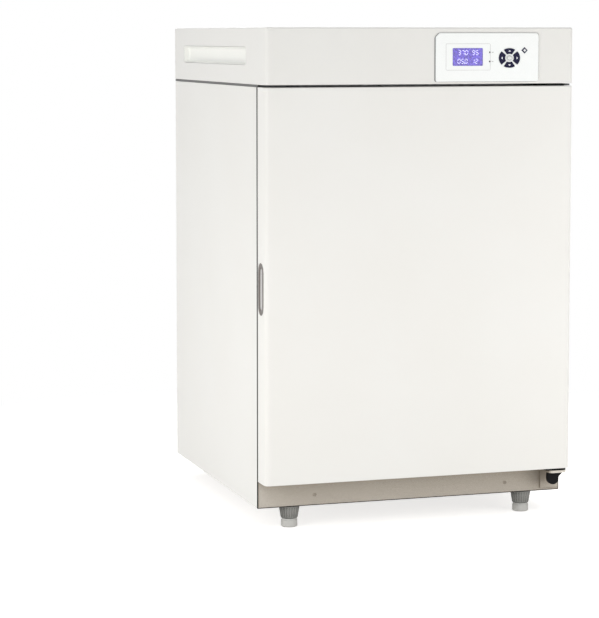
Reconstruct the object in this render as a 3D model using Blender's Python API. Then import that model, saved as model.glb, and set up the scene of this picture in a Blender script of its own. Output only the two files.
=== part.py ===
"""Carbon dioxide incubator: a bench cabinet with a heated outer door, an inner glass door,
a stainless chamber with shelves, and a hood that holds the controls, gas valve and fan motor.

Metres, +Z up. The front faces -Y and the origin is on the floor under the middle of the whole
object. Every piece is worked out from the named sizes below.
"""

import math

import bmesh
import bpy
from mathutils import Matrix, Vector

# outer sizes
WIDTH = 0.650                 # cabinet, door and hood
CASE_DEPTH = 0.645            # cabinet behind the door
CASE_BOTTOM = 0.045           # underside of the cabinet above the floor
CASE_HEIGHT = 0.836           # cabinet, up to the top of the door
DOOR_LIFT = 0.055             # lower edge of the door above the cabinet's underside
DOOR_DEPTH = 0.050
DOOR_GAP = 0.005              # shadow gap between door and cabinet, filled by the seal
HOOD_GAP = 0.005              # shadow gap under the hood
HOOD_HEIGHT = 0.112
PANEL_PROUD = 0.0028          # control panel in front of the hood
KEY_PROUD = 0.0012            # keys in front of the control panel
REAR_REACH = 0.020            # stopper and gas nipple behind the cabinet

# sheet, fits and small sizes
SHEET = 0.0012                # cabinet side and back sheet
FRAME_SHEET = 0.0015          # front frame, deck, base and liner sheet
CLEAR = 0.0003                # gap between pieces that touch
SIDE_BEND = 0.008             # rear corners of the side panels
SIDE_RETURN = 0.022
FRONT_ROUND = 0.010           # upright front edges of hood and door
TOP_ROUND = 0.003
DOOR_TOP_ROUND = 0.002
REAR_ROUND = 0.006            # rear corners of the hood
REAR_PANEL_ROUND = 0.006

# insulated walls, chamber and front frame
SIDE_WALL = 0.075             # chamber to the cabinet's side
TOP_WALL = 0.081              # chamber to the cabinet's top
FLOOR_WALL = 0.105            # chamber to the cabinet's underside
CHAMBER_DEPTH = 0.520
CHAMBER_COVE = 0.020          # rounded inner corners
REAR_COVE = 0.012             # rounded corners round the chamber's rear wall
OPENING_MARGIN = 0.030        # frame opening beyond the chamber, each side
OPENING_ROUND = 0.014
FRAME_RECESS = 0.024          # depth of the step that the glass door closes into
FRAME_RETURN = 0.012          # outer flange of the frame
FRAME_BEND = 0.001
FLANGE_LAP = 0.010            # liner flange behind the frame
FLANGE_ROUND = 0.016
JACKET_REAR_GAP = 0.012
BASE_FLANGE = 0.030
PLINTH_SIDE = 0.012           # hood's plinth on the deck from the sides,
PLINTH_FRONT = 0.045          # the front
PLINTH_REAR = 0.022           # and the back of the cabinet

# glass door
GLASS = 0.005
GLASS_LAP = 0.012             # glass beyond the chamber opening
GLASS_ROUND = 0.010
SEAL_THICK = 0.004
SEAL_WIDTH = 0.010
GLASS_AXIS_IN = 0.010         # glass hinge axis from the side of the frame opening
GLASS_AXIS_OUT = 0.004        # and in front of the glass
RAIL_LEG = 0.024              # hinge rail on the glass
RAIL_LEG_THICK = 0.002
RAIL_END = 0.004              # hinge rail short of the chamber's floor and ceiling
RAIL_KNUCKLE = 0.005
BLOCK_HEIGHT = 0.016          # hinge blocks on the frame
BLOCK_BESIDE = 0.007
BLOCK_FRONT = 0.006
BLOCK_BACK = 0.004
GLASS_PIN = 0.0025
GLASS_PIN_LENGTH = 0.010
KNOB_RADIUS = 0.013
KNOB_DEPTH = 0.013
KNOB_IN = 0.034               # knob from the free edge of the glass

# outer door
DOOR_HINGE_IN = 0.014         # hinge axis from the right side
DOOR_PIN = 0.004
DOOR_PIN_LENGTH = 0.026
DOOR_PIN_PART = 0.018         # length of the lower pin inside its bush
SHOE_BOSS = 0.008             # bush of the door's lower hinge
GASKET_LAP = 0.006            # door seal outside the frame opening
GASKET_WIDTH = 0.010
GASKET_ROUND = 0.008
POCKET_IN = 0.012             # liner pocket inside the frame opening
POCKET_DEPTH = 0.012
POCKET_ROUND = 0.016
POCKET_EDGE = 0.004
GRIP_HEIGHT = 0.104
GRIP_WIDTH = 0.037
GRIP_UP = 0.386               # middle of the grip above the door's lower edge
GRIP_FROM_BACK = 0.002
GRIP_DEPTH = 0.032
GRIP_RIM = 0.005

# hinge leaves, shoe and cover of the outer door
SHOE_THICK = 0.0055           # leaf below the door's lower edge
LEAF_THICK = 0.005
LEAF_IN = 0.028               # leaf to the left of the axis
LEAF_EDGE = 0.003             # leaf inside the cabinet's side
LEAF_FRONT = 0.019            # leaf in front of the axis
LEAF_ROUND = 0.008
LEAF_BACK = 0.003             # plate that holds the leaf to the frame
LEAF_BACK_UP = 0.006          # and its lower edge above the cabinet's underside
SHOE_IN = 0.034
SHOE_OUT = 0.011
SHOE_HALF = 0.017
SHOE_ROUND = 0.006
COVER_HALF = 0.0135
COVER_DROP = 0.021
COVER_IN = 0.014              # middle of the cover to the left of the axis
COVER_EAR = 0.006
COVER_FRONT = 0.008
UPPER_GAP = 0.0012            # upper leaf in the shadow gap, above and below
UPPER_IN = 0.046
UPPER_BACK = 0.042
UPPER_SEAT_FRONT = 0.014
UPPER_SEAT_BACK = 0.038
UPPER_SEAT_EDGE = 0.006

# shelves and rails
FIRST_SHELF = 0.150           # lowest shelf above the chamber floor
SHELF_PITCH = 0.150
SHELF_SHEET = 0.0015
SHELF_IN = 0.040              # shelf from the front and back of the chamber
SHELF_TURN = 0.012            # folded front and back edges
SHELF_BEND = 0.003
SHELF_PLAY = 0.001
WING_IN = 0.004
RAIL_LEDGE = 0.012
RAIL_UP = 0.022               # rails above the chamber floor
RAIL_DOWN = 0.055             # and below its ceiling
RAIL_IN = 0.034
RAIL_LIP_ABOVE = 0.012
WINDOW_ABOVE = 0.028          # cut-outs of the rails above a ledge, clear of its lip
WINDOW_BELOW = 0.018          # and below the next
WINDOW_COLUMNS = 2
SLOT_LENGTH = 0.070
SLOT_WIDTH = 0.018
SLOT_COLUMNS = 4
SLOT_ROWS = 5
SLOT_EDGE = 0.026

# water pan
PAN_SIDE_GAP = 0.050          # pan to the chamber's sides
PAN_END_GAP = 0.060           # pan to its front and back
PAN_HEIGHT = 0.030
PAN_TAPER = 0.006
PAN_RIM = 0.006
PAN_ROUND = 0.018

# fan
FAN_RADIUS = 0.055
FAN_HEIGHT = 0.016
FAN_OVER = 0.007              # wheel below the ceiling
FAN_UNDER = 0.0058            # wheel above the shroud's floor
FAN_EYE = 0.036               # intake radius
FAN_DISC = 0.0016
FAN_HUB = 0.010
FAN_BLADES = 12
BLADE_THICK = 0.0012
BLADE_SWEEP = 34.0            # degrees from the inner to the outer blade edge
BLADE_CURVE = 1.3
SHAFT_RADIUS = 0.004
SHAFT_PLAY = 0.002            # deck and liner holes round the shaft
SHAFT_IN_MOTOR = 0.030
SHROUD_SIDE_GAP = 0.070       # shroud to the chamber's sides
SHROUD_END_GAP = 0.110        # shroud to its front and back
SHROUD_ROUND = 0.006
OUTLET_WIDTH = 0.010
OUTLETS = 4
MOTOR_RADIUS = 0.032
MOTOR_HEIGHT = 0.056
MOTOR_FOOT = 0.008
MOTOR_PLATE = 0.003
MOTOR_GROOVES = 2

# gas sensor
SENSOR_RADIUS = 0.008
SENSOR_DROP = 0.040           # probe below the ceiling
SENSOR_VENT = 0.0015
SENSOR_HEAD = 0.013
SENSOR_FLANGE = 0.017
SENSOR_HEIGHT = 0.032

# access port in the rear wall
PORT_IN = 0.100               # from the chamber's right side
PORT_DOWN = 0.150             # below its ceiling
PORT_HALF = 0.024             # square sleeve
PORT_BORE = 0.018
PORT_RIM = 0.031              # half width of the square rim behind the cabinet
PORT_RIM_THICK = 0.004
PORT_INSIDE = 0.004           # sleeve in front of the chamber's rear wall
PLUG_LENGTH = 0.045

# control panel on the hood, from right to left
PANEL_IN = 0.078              # right edge from the side of the hood
PANEL_UP = 0.0045             # lower edge above the hood's lower edge
PANEL_DOWN = 0.0110           # upper edge below the hood's top
PANEL_ROUND = 0.006
PANEL_CUT = 0.008             # cut upper left corner
PANEL_BEVEL = 0.0008
SMALL_KEY = 0.0062
SMALL_KEY_IN = 0.0306         # small key from the panel's right edge
SMALL_KEY_UP = 0.0618         # all heights from the panel's lower edge
RING_BESIDE = 0.0325          # ring of keys from the small key
RING_UP = 0.0466
RING_WIDE = 0.0228            # half width of the ring
RING_TALL = 0.0192            # half height of the ring
RING_INNER = 0.45             # inner edge as a share of the outer
KEY_SPANS = {"key_up": (90, 31), "key_right": (0, 42), "key_down": (270, 31), "key_left": (180, 42)}
CENTRE_KEY_WIDE = 0.0072
CENTRE_KEY_TALL = 0.0052
LED_BESIDE = 0.0193           # lamps from the ring's edge
LED_UPPER_UP = 0.0580
LED_LOWER_UP = 0.0398
LED_RADIUS = 0.0016
SCREEN_BESIDE = 0.0151        # screen's edge from the lamps
SCREEN_UP = 0.0489
SCREEN_WIDTH = 0.0640
SCREEN_HEIGHT = 0.0345
SCREEN_ROUND = 0.0015
SCREEN_MARGIN = 0.0357        # panel's left edge from the screen
SCREEN_PANE = 0.0012
SCREEN_FRAME = 0.0055
KEY_TRAVEL = 0.0008
KEY_BEVEL = 0.0004
SWITCH_TALL_ON_BOARD = 0.0055
SWITCH_SIZE = 0.0028
BOARD_BACK = 0.0125           # board behind the face of the hood
BOARD_THICK = 0.0016
BOARD_IN = 0.006
BOARD_DOWN = 0.004
RELAY = 0.008                 # half width and half height of a relay
RELAY_DEPTH = 0.016
RELAY_ABOVE = 0.012           # relays above the middle of the ring
RELAY_PITCH = 0.026
CHIP = 0.011
CHIP_DEPTH = 0.003
PLUG_HALF = 0.017             # half width of the board's connector
PLUG_BELOW = 0.024            # connector below the middle of the ring
PLUG_DEPTH = 0.011
PANEL_LAP = 0.012             # hood sheet behind the panel's edge

# side grips and openings of the hood
HOOD_GRIP_FRONT = 0.078       # behind the cabinet's front
HOOD_GRIP_REAR = 0.084        # before the cabinet's back
HOOD_GRIP_LOW = 0.0375        # above the lower edge of the hood
HOOD_GRIP_HEIGHT = 0.036
HOOD_GRIP_DEPTH = 0.014
HOOD_GRIP_ROUND = 0.006
HOOD_LIP = 0.025              # closed rim under the hood
HOOD_LIP_FRONT = 0.060
VENT_COUNT = 6                # cooling slots in the back of the hood
VENT_PITCH = 0.018
VENT_HEIGHT = 0.040
VENT_WIDTH = 0.005
VENT_IN = 0.140               # middle of the slots from the right side

# power module and gas valve in the back of the hood
INLET_IN = 0.095              # from the left side of the hood
INLET_UP = 0.052              # above the lower edge of the hood
INLET_HALF = 0.0135
INLET_TALL = 0.0270
INLET_BODY = 0.030
INLET_CORNER = 0.002
INLET_RIM = 0.004
INLET_RIM_THICK = 0.0025
SOCKET_HALF = 0.0115
SOCKET_TALL = 0.0180
SOCKET_DEPTH = 0.017
SOCKET_UP = 0.004
PIN_HALF = 0.0010
PIN_SPREAD = 0.007
PIN_UP = 0.006
EARTH_PIN_UP = 0.011
PIN_SHORT = 0.004
SWITCH_UP = 0.0140            # switch above the middle of the module
SWITCH_HALF = 0.0100
SWITCH_TALL = 0.0105
SWITCH_WELL = 0.016
SWITCH_AXIS_IN = 0.006
SWITCH_TILT = 8.0
VALVE_BESIDE = 0.100          # valve from the power module
VALVE_UP = 0.022
VALVE_NECK = 0.0060
VALVE_BORE = 0.0036
VALVE_NUT = 0.0085
VALVE_HALF = 0.014
VALVE_DEPTH = 0.040
VALVE_HEIGHT = 0.034
VALVE_FROM_BACK = 0.034
COIL_RADIUS = 0.013
COIL_TOP = 0.068

# transformer on the deck
CORE_IN = 0.125               # from the left side of the hood
CORE_HALF = 0.036
CORE_HALF_DEPTH = 0.024
CORE_HEIGHT = 0.062
CORE_FOOT = 0.012
CORE_FOOT_THICK = 0.003
WINDING = 0.016

# feet
FOOT_X = 0.074                # from the side of the cabinet
FOOT_Y = 0.026                # from its front and back
COLLAR_TOP = 0.0210
COLLAR_FOOT = 0.0172
COLLAR_LOW = 0.0180
COLLAR_BAND = 0.003
COLLAR_RIBS = 10
RIB_SHARE = 0.965             # radius between the ribs as a share of the ribs' own
PAD_RADIUS = 0.0165
PAD_ROUND = 0.004
PAD_EDGE = 0.002
STUD_RADIUS = 0.005
STUD_UP = 0.025               # stud above the cabinet's underside

# worked out from the sizes above
HALF = WIDTH / 2
CASE_TOP = CASE_BOTTOM + CASE_HEIGHT
DOOR_BOTTOM = CASE_BOTTOM + DOOR_LIFT
FRONT_REACH = PANEL_PROUD + KEY_PROUD
TOTAL_DEPTH = FRONT_REACH + DOOR_DEPTH + DOOR_GAP + CASE_DEPTH + REAR_REACH
FACE_Y = -TOTAL_DEPTH / 2 + FRONT_REACH
DOOR_BACK = FACE_Y + DOOR_DEPTH
CASE_FRONT = DOOR_BACK + DOOR_GAP
CASE_BACK = CASE_FRONT + CASE_DEPTH
HOOD_LOW = CASE_TOP + HOOD_GAP
HOOD_TOP = HOOD_LOW + HOOD_HEIGHT
CHAMBER_WIDTH = WIDTH - 2 * SIDE_WALL
CHAMBER_HALF = CHAMBER_WIDTH / 2
CHAMBER_FLOOR = CASE_BOTTOM + FLOOR_WALL
CHAMBER_CEILING = CASE_TOP - TOP_WALL
OPEN_HALF = CHAMBER_HALF + OPENING_MARGIN
OPEN_LOW = CHAMBER_FLOOR - OPENING_MARGIN
OPEN_HIGH = CHAMBER_CEILING + OPENING_MARGIN
LINER_FRONT = CASE_FRONT + FRAME_RECESS + CLEAR
CHAMBER_BACK = LINER_FRONT + CHAMBER_DEPTH
CHAMBER_MID = LINER_FRONT + CHAMBER_DEPTH / 2
JACKET_FRONT = LINER_FRONT + FRAME_SHEET + CLEAR
JACKET_BACK = CASE_BACK - JACKET_REAR_GAP
GLASS_BACK = LINER_FRONT - SEAL_THICK - CLEAR
GLASS_FRONT = GLASS_BACK - GLASS
GLASS_AXIS = (OPEN_HALF - GLASS_AXIS_IN, GLASS_FRONT - GLASS_AXIS_OUT)
GLASS_HALF = CHAMBER_HALF + GLASS_LAP
DOOR_AXIS = (HALF - DOOR_HINGE_IN, FACE_Y + DOOR_DEPTH / 2)
DECK_TOP = HOOD_LOW - CLEAR
INNER_HALF = HALF - SHEET - CLEAR
LEAF_TOP = DOOR_BOTTOM - SHOE_THICK
SHOE_LOW = LEAF_TOP + CLEAR
SHELF_LEVELS = [CHAMBER_FLOOR + FIRST_SHELF + SHELF_PITCH * k for k in range(3)]
RAIL_LOW = CHAMBER_FLOOR + RAIL_UP
RAIL_HIGH = CHAMBER_CEILING - RAIL_DOWN
PAN_WIDTH = CHAMBER_WIDTH - 2 * PAN_SIDE_GAP
PAN_DEPTH = CHAMBER_DEPTH - 2 * PAN_END_GAP
FAN_TOP = CHAMBER_CEILING - FAN_OVER
FAN_LOW = FAN_TOP - FAN_HEIGHT
SHROUD_LOW = FAN_LOW - FAN_UNDER - SHEET
SHROUD_WIDTH = CHAMBER_WIDTH - 2 * SHROUD_SIDE_GAP
SHROUD_DEPTH = CHAMBER_DEPTH - 2 * SHROUD_END_GAP
SENSOR_X = (SHROUD_WIDTH / 2 + CHAMBER_HALF) / 2
PORT_X = CHAMBER_HALF - PORT_IN
PORT_Z = CHAMBER_CEILING - PORT_DOWN
PANEL_RIGHT = HALF - PANEL_IN
PANEL_LOW = HOOD_LOW + PANEL_UP
PANEL_HIGH = HOOD_TOP - PANEL_DOWN
SMALL_KEY_X = PANEL_RIGHT - SMALL_KEY_IN
SMALL_KEY_Z = PANEL_LOW + SMALL_KEY_UP
RING_X = SMALL_KEY_X - RING_BESIDE
RING_Z = PANEL_LOW + RING_UP
LED_X = RING_X - RING_WIDE - LED_BESIDE
LED_Z = (PANEL_LOW + LED_UPPER_UP, PANEL_LOW + LED_LOWER_UP)
SCREEN_X = LED_X - SCREEN_BESIDE - SCREEN_WIDTH / 2
SCREEN_Z = PANEL_LOW + SCREEN_UP
PANEL_LEFT = SCREEN_X - SCREEN_WIDTH / 2 - SCREEN_MARGIN
GRIP_Y = DOOR_BACK - GRIP_WIDTH / 2 - GRIP_FROM_BACK
GRIP_Z = DOOR_BOTTOM + GRIP_UP
INLET_X = -HALF + INLET_IN
INLET_Z = HOOD_LOW + INLET_UP
SWITCH_Z = INLET_Z + SWITCH_UP
VALVE_X = INLET_X + VALVE_BESIDE
VALVE_Z = HOOD_LOW + VALVE_UP
VENT_X = HALF - VENT_IN


def make_material(name, colour, roughness, metallic=0.0, alpha=1.0, glow=0.0):
    """A plain finish for one piece."""
    material = bpy.data.materials.new(name)
    material.use_nodes = True
    shader = material.node_tree.nodes["Principled BSDF"]
    shader.inputs["Base Color"].default_value = (*colour, 1.0)
    shader.inputs["Roughness"].default_value = roughness
    shader.inputs["Metallic"].default_value = metallic
    shader.inputs["Alpha"].default_value = alpha
    if glow:
        shader.inputs["Emission Color"].default_value = (*colour, 1.0)
        shader.inputs["Emission Strength"].default_value = glow
    return material


FINISHES = {
    "paint": ((0.80, 0.80, 0.77), 0.38, 0.0),
    "paint_warm": ((0.74, 0.72, 0.67), 0.42, 0.0),
    "panel": ((0.84, 0.88, 0.88), 0.30, 0.0),
    "steel": ((0.62, 0.63, 0.64), 0.28, 1.0),
    "zinc": ((0.55, 0.56, 0.57), 0.40, 1.0),
    "aluminium": ((0.70, 0.71, 0.72), 0.35, 1.0),
    "brass": ((0.72, 0.55, 0.26), 0.30, 1.0),
    "black": ((0.025, 0.025, 0.027), 0.50, 0.0),
    "navy": ((0.020, 0.022, 0.090), 0.40, 0.0),
    "grey_key": ((0.62, 0.64, 0.66), 0.45, 0.0),
    "grey": ((0.22, 0.23, 0.24), 0.60, 0.0),
    "grip": ((0.42, 0.43, 0.44), 0.35, 0.6),
    "pad": ((0.55, 0.56, 0.57), 0.65, 0.0),
    "silicone": ((0.80, 0.81, 0.80), 0.60, 0.0),
    "seal": ((0.50, 0.51, 0.51), 0.70, 0.0),
    "foam": ((0.74, 0.69, 0.52), 0.90, 0.0),
    "board": ((0.03, 0.20, 0.08), 0.50, 0.0),
    "led": ((0.12, 0.13, 0.14), 0.25, 0.0),
}


def build_mesh(name, mesh_data, finish, smooth=None, origin=None):
    """Turn a bmesh into a named object with its own material.

    smooth is the angle in degrees below which edges are shaded smooth, and origin is the point
    that the piece turns or slides about.
    """
    bmesh.ops.remove_doubles(mesh_data, verts=mesh_data.verts, dist=1e-7)
    bmesh.ops.recalc_face_normals(mesh_data, faces=mesh_data.faces)
    if origin is not None:
        bmesh.ops.translate(mesh_data, verts=mesh_data.verts, vec=-Vector(origin))
    mesh = bpy.data.meshes.new(name)
    mesh_data.to_mesh(mesh)
    mesh_data.free()
    if smooth is not None:
        mesh.shade_smooth()
        mesh.set_sharp_from_angle(angle=math.radians(smooth))
    piece = bpy.data.objects.new(name, mesh)
    if origin is not None:
        piece.location = origin
    bpy.context.scene.collection.objects.link(piece)
    if finish is not None:
        colour, roughness, metallic = FINISHES[finish]
        piece.data.materials.append(make_material(name, colour, roughness, metallic))
    return piece


def hide_tool(tool):
    """Mark a shape that only cuts or joins another."""
    tool.hide_render = True
    tool.display_type = "WIRE"
    return tool


def combine(piece, operation, shape, name=None):
    """Cut or join a shape into a piece with a live Boolean."""
    label = name or f"{piece.name}_{operation.lower()}_{len(piece.modifiers)}"
    tool = shape if isinstance(shape, bpy.types.Object) else build_mesh(label, shape, None)
    hide_tool(tool)
    modifier = piece.modifiers.new(label, "BOOLEAN")
    modifier.operation = operation
    modifier.solver = "EXACT"
    modifier.object = tool
    return tool


def cut(piece, shape, name=None):
    return combine(piece, "DIFFERENCE", shape, name)


def join(piece, shape, name=None):
    return combine(piece, "UNION", shape, name)


def box(low, high):
    """A bmesh box between two corners."""
    shape = bmesh.new()
    size = [high[i] - low[i] for i in range(3)]
    middle = [(high[i] + low[i]) / 2 for i in range(3)]
    place = Matrix.Translation(middle) @ Matrix.Diagonal((*size, 1.0))
    bmesh.ops.create_cube(shape, size=1.0, matrix=place)
    return shape


def round_edges(shape, radius, segments, chosen):
    """Round the edges of a bmesh whose two ends pass the given test."""
    edges = [edge for edge in shape.edges if all(chosen(vertex.co) for vertex in edge.verts)]
    bmesh.ops.bevel(shape, geom=edges, offset=radius, segments=segments, profile=0.5, affect="EDGES")
    return shape


def near(value, target):
    return abs(value - target) < 1e-6


def round_upright_corners(shape, low, high, front_radius, rear_radius=None):
    """Round a box's upright front corners and, where a radius is given, its rear ones."""
    for x in (low[0], high[0]):
        round_edges(shape, front_radius, 4, lambda p, x=x: near(p.y, low[1]) and near(p.x, x))
        if rear_radius:
            round_edges(shape, rear_radius, 3, lambda p, x=x: near(p.y, high[1]) and near(p.x, x))


AXES = {"X": (1, 2, 0), "Y": (0, 2, 1), "Z": (0, 1, 2)}


def place_point(axis, u, v, along):
    """A point from two coordinates across an axis and one along it."""
    point = [0.0, 0.0, 0.0]
    first, second, third = AXES[axis]
    point[first] = u
    point[second] = v
    point[third] = along
    return point


def prism(outline, axis, start, end):
    """Extrude a closed outline along an axis."""
    shape = bmesh.new()
    near_ring = [shape.verts.new(place_point(axis, u, v, start)) for u, v in outline]
    far_ring = [shape.verts.new(place_point(axis, u, v, end)) for u, v in outline]
    shape.faces.new(near_ring)
    shape.faces.new(far_ring)
    count = len(outline)
    for i in range(count):
        j = (i + 1) % count
        shape.faces.new((near_ring[i], near_ring[j], far_ring[j], far_ring[i]))
    return shape


def ring_prism(outer, inner, axis, start, end):
    """Extrude the band between two outlines that have as many points as each other."""
    shape = bmesh.new()
    rings = []
    for outline, along in ((outer, start), (outer, end), (inner, end), (inner, start)):
        rings.append([shape.verts.new(place_point(axis, u, v, along)) for u, v in outline])
    count = len(outer)
    for k in range(4):
        first, second = rings[k], rings[(k + 1) % 4]
        for i in range(count):
            j = (i + 1) % count
            shape.faces.new((first[i], first[j], second[j], second[i]))
    return shape


def arc(centre, radii, start, end, segments):
    """Points along an elliptical arc, angles in degrees."""
    points = []
    for i in range(segments + 1):
        angle = math.radians(start + (end - start) * i / segments)
        points.append((centre[0] + radii[0] * math.cos(angle), centre[1] + radii[1] * math.sin(angle)))
    return points


def circle(centre, radius, segments):
    return arc(centre, (radius, radius), 0, 360, segments)[:-1]


def rounded(low, high, radius, segments=4):
    """A rectangle with round corners."""
    (x0, z0), (x1, z1) = low, high
    corners = (((x1 - radius, z1 - radius), 0), ((x0 + radius, z1 - radius), 90),
               ((x0 + radius, z0 + radius), 180), ((x1 - radius, z0 + radius), 270))
    points = []
    for centre, start in corners:
        points += arc(centre, (radius, radius), start, start + 90, segments)
    return points


def slot(centre, length, width, segments=4, upright=False):
    """A slot with round ends, lying along the first axis or standing along the second."""
    reach = length / 2 - width / 2
    radius = width / 2
    points = arc((reach, 0), (radius, radius), -90, 90, segments)
    points += arc((-reach, 0), (radius, radius), 90, 270, segments)
    if upright:
        points = [(-v, u) for u, v in points]
    return [(centre[0] + u, centre[1] + v) for u, v in points]


def cylinder(centre, radius, axis, start, end, segments=24):
    return prism(circle(centre, radius, segments), axis, start, end)


def turned(profile, centre, axis, segments=24):
    """Revolve a closed profile of (radius, height) round an axis through centre."""
    shape = bmesh.new()
    count = len(profile)
    rings = []
    for i in range(segments):
        angle = 2 * math.pi * i / segments
        ring = []
        for radius, height in profile:
            u = centre[0] + radius * math.cos(angle)
            v = centre[1] + radius * math.sin(angle)
            ring.append(shape.verts.new(place_point(axis, u, v, height)))
        rings.append(ring)
    for i in range(segments):
        first, second = rings[i], rings[(i + 1) % segments]
        for k in range(count):
            j = (k + 1) % count
            if profile[k][0] < 1e-9 and profile[j][0] < 1e-9:
                continue
            shape.faces.new((first[k], first[j], second[j], second[k]))
    bmesh.ops.remove_doubles(shape, verts=shape.verts, dist=1e-7)
    bmesh.ops.dissolve_degenerate(shape, edges=shape.edges, dist=1e-8)
    return shape


def folded_strip(path, thickness, radius, segments=4):
    """Outline of sheet metal bent along a path, with round bends.

    The path is the outer face and the sheet lies on its left. Each corner becomes an arc of the
    bend radius outside and of the radius less the thickness inside.
    """
    outer, inner = [], []
    for i, point in enumerate(path):
        here = Vector(point)
        before = (here - Vector(path[i - 1])).normalized() if i else None
        after = (Vector(path[i + 1]) - here).normalized() if i < len(path) - 1 else None
        if before is None or after is None:
            direction = after if before is None else before
            side = Vector((-direction.y, direction.x))
            outer.append(tuple(here))
            inner.append(tuple(here + side * thickness))
            continue
        turn = before.angle_signed(after)
        left = turn < 0
        bend = radius if left else radius - thickness
        reach = bend * math.tan(abs(turn) / 2)
        side = Vector((-before.y, before.x)) * (1 if left else -1)
        centre = here - before * reach + side * bend
        for k in range(segments + 1):
            angle = abs(turn) * k / segments * (1 if left else -1)
            spoke = Matrix.Rotation(angle, 2) @ (-side)
            outer_radius = bend
            inner_radius = bend - thickness if left else bend + thickness
            outer.append(tuple(centre + spoke * outer_radius))
            inner.append(tuple(centre + spoke * inner_radius))
    return outer + inner[::-1]


def mirror_outline(outline):
    return [(-u, v) for u, v in reversed(outline)]


def make_side_panels():
    """Side sheets whose rear corners turn round and in behind the rear panel."""
    back = CASE_BACK - SHEET - CLEAR
    path = [(-HALF + SIDE_RETURN, back), (-HALF, back), (-HALF, CASE_FRONT)]
    outline = folded_strip(path, SHEET, SIDE_BEND)
    for side, shape in (("left", outline), ("right", mirror_outline(outline))):
        build_mesh(f"side_panel_{side}", prism(shape, "Z", CASE_BOTTOM, CASE_TOP), "paint", 30)


def make_rear_panel():
    """Back sheet over the side panels' returns, with the hole of the access port."""
    edge = HALF - SIDE_BEND - SHEET
    outline = rounded((-edge, CASE_BOTTOM + FRAME_SHEET), (edge, CASE_TOP - FRAME_SHEET), REAR_PANEL_ROUND)
    piece = build_mesh("rear_panel", prism(outline, "Y", CASE_BACK - SHEET, CASE_BACK), "paint")
    cut(piece, port_passage(JACKET_BACK, CASE_BACK + SHEET))


def foot_places():
    """Names and centres of the four feet."""
    places = {}
    for depth_word, y in (("front", CASE_FRONT + FOOT_Y), ("rear", CASE_BACK - FOOT_Y)):
        for side_word, x in (("left", -HALF + FOOT_X), ("right", HALF - FOOT_X)):
            places[f"{depth_word}_{side_word}"] = (x, y)
    return places


def make_base_pan():
    """Folded tray under the insulation, with the holes of the levelling feet."""
    low = (-INNER_HALF, CASE_FRONT + FRAME_RETURN + CLEAR, CASE_BOTTOM)
    high = (INNER_HALF, CASE_BACK - 2 * (SHEET + CLEAR), CASE_BOTTOM + BASE_FLANGE)
    corner = SIDE_BEND - SHEET - CLEAR
    tray = box(low, high)
    for x in (low[0], high[0]):
        round_edges(tray, corner, 3, lambda p, x=x: near(p.y, high[1]) and near(p.x, x))
    piece = build_mesh("base_pan", tray, "zinc", 40)
    inner_low = [value + FRAME_SHEET for value in low]
    inner_high = (high[0] - FRAME_SHEET, high[1] - FRAME_SHEET, high[2] + FRAME_SHEET)
    hollow = box(inner_low, inner_high)
    for x in (inner_low[0], inner_high[0]):
        round_edges(hollow, corner - FRAME_SHEET, 3,
                    lambda p, x=x: near(p.y, inner_high[1]) and near(p.x, x))
    cut(piece, hollow, "tray_hollow")
    for name, centre in foot_places().items():
        hole = cylinder(centre, STUD_RADIUS + CLEAR, "Z", CASE_BOTTOM - SHEET, inner_low[2] + SHEET, 12)
        cut(piece, hole, f"base_hole_{name}")


def make_top_deck():
    """Deck over the insulation with a raised plinth that carries the hood and its equipment."""
    low = (-INNER_HALF, CASE_FRONT + FRAME_RETURN + CLEAR, CASE_TOP - FRAME_SHEET)
    high = (INNER_HALF, JACKET_BACK, CASE_TOP)
    piece = build_mesh("top_deck", box(low, high), "zinc")
    front, back = CASE_FRONT + PLINTH_FRONT, CASE_BACK - PLINTH_REAR
    plinth_half = HALF - PLINTH_SIDE
    join(piece, box((-plinth_half, front, low[2] + SHEET / 2), (plinth_half, back, DECK_TOP)))
    wall = FRAME_SHEET
    cut(piece, box((-plinth_half + wall, front + wall, low[2] - wall),
                   (plinth_half - wall, back - wall, DECK_TOP - wall)))
    for centre, radius in ((0.0, SHAFT_RADIUS + SHAFT_PLAY), (SENSOR_X, SENSOR_RADIUS + CLEAR)):
        cut(piece, cylinder((centre, CHAMBER_MID), radius, "Z", low[2] - wall, DECK_TOP + wall, 12))


def make_front_frame():
    """Channel ring round the chamber opening: a face with flanges turned back at both edges."""
    outer_low, outer_high = (-INNER_HALF, CASE_BOTTOM), (INNER_HALF, CASE_TOP)
    open_low, open_high = (-OPEN_HALF, OPEN_LOW), (OPEN_HALF, OPEN_HIGH)
    corner = OPENING_ROUND
    face = ring_prism(rounded(outer_low, outer_high, FRAME_BEND), rounded(open_low, open_high, corner),
                      "Y", CASE_FRONT, CASE_FRONT + FRAME_RECESS)
    piece = build_mesh("front_frame", face, "paint_warm", 30)
    sheet = FRAME_SHEET
    inner_edge = rounded((open_low[0] - sheet, open_low[1] - sheet),
                         (open_high[0] + sheet, open_high[1] + sheet), corner + sheet)
    outer_edge = rounded((outer_low[0] + sheet, outer_low[1] + sheet),
                         (outer_high[0] - sheet, outer_high[1] - sheet), FRAME_BEND)
    beyond = CASE_FRONT + FRAME_RECESS + sheet
    cut(piece, ring_prism(outer_edge, inner_edge, "Y", CASE_FRONT + sheet, beyond), "frame_channel")
    wide = rounded((outer_low[0] - sheet, outer_low[1] - sheet),
                   (outer_high[0] + sheet, outer_high[1] + sheet), FRAME_BEND)
    shorten = ring_prism(wide, inner_edge, "Y", CASE_FRONT + FRAME_RETURN, beyond)
    cut(piece, shorten, "frame_short_flange")


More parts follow.
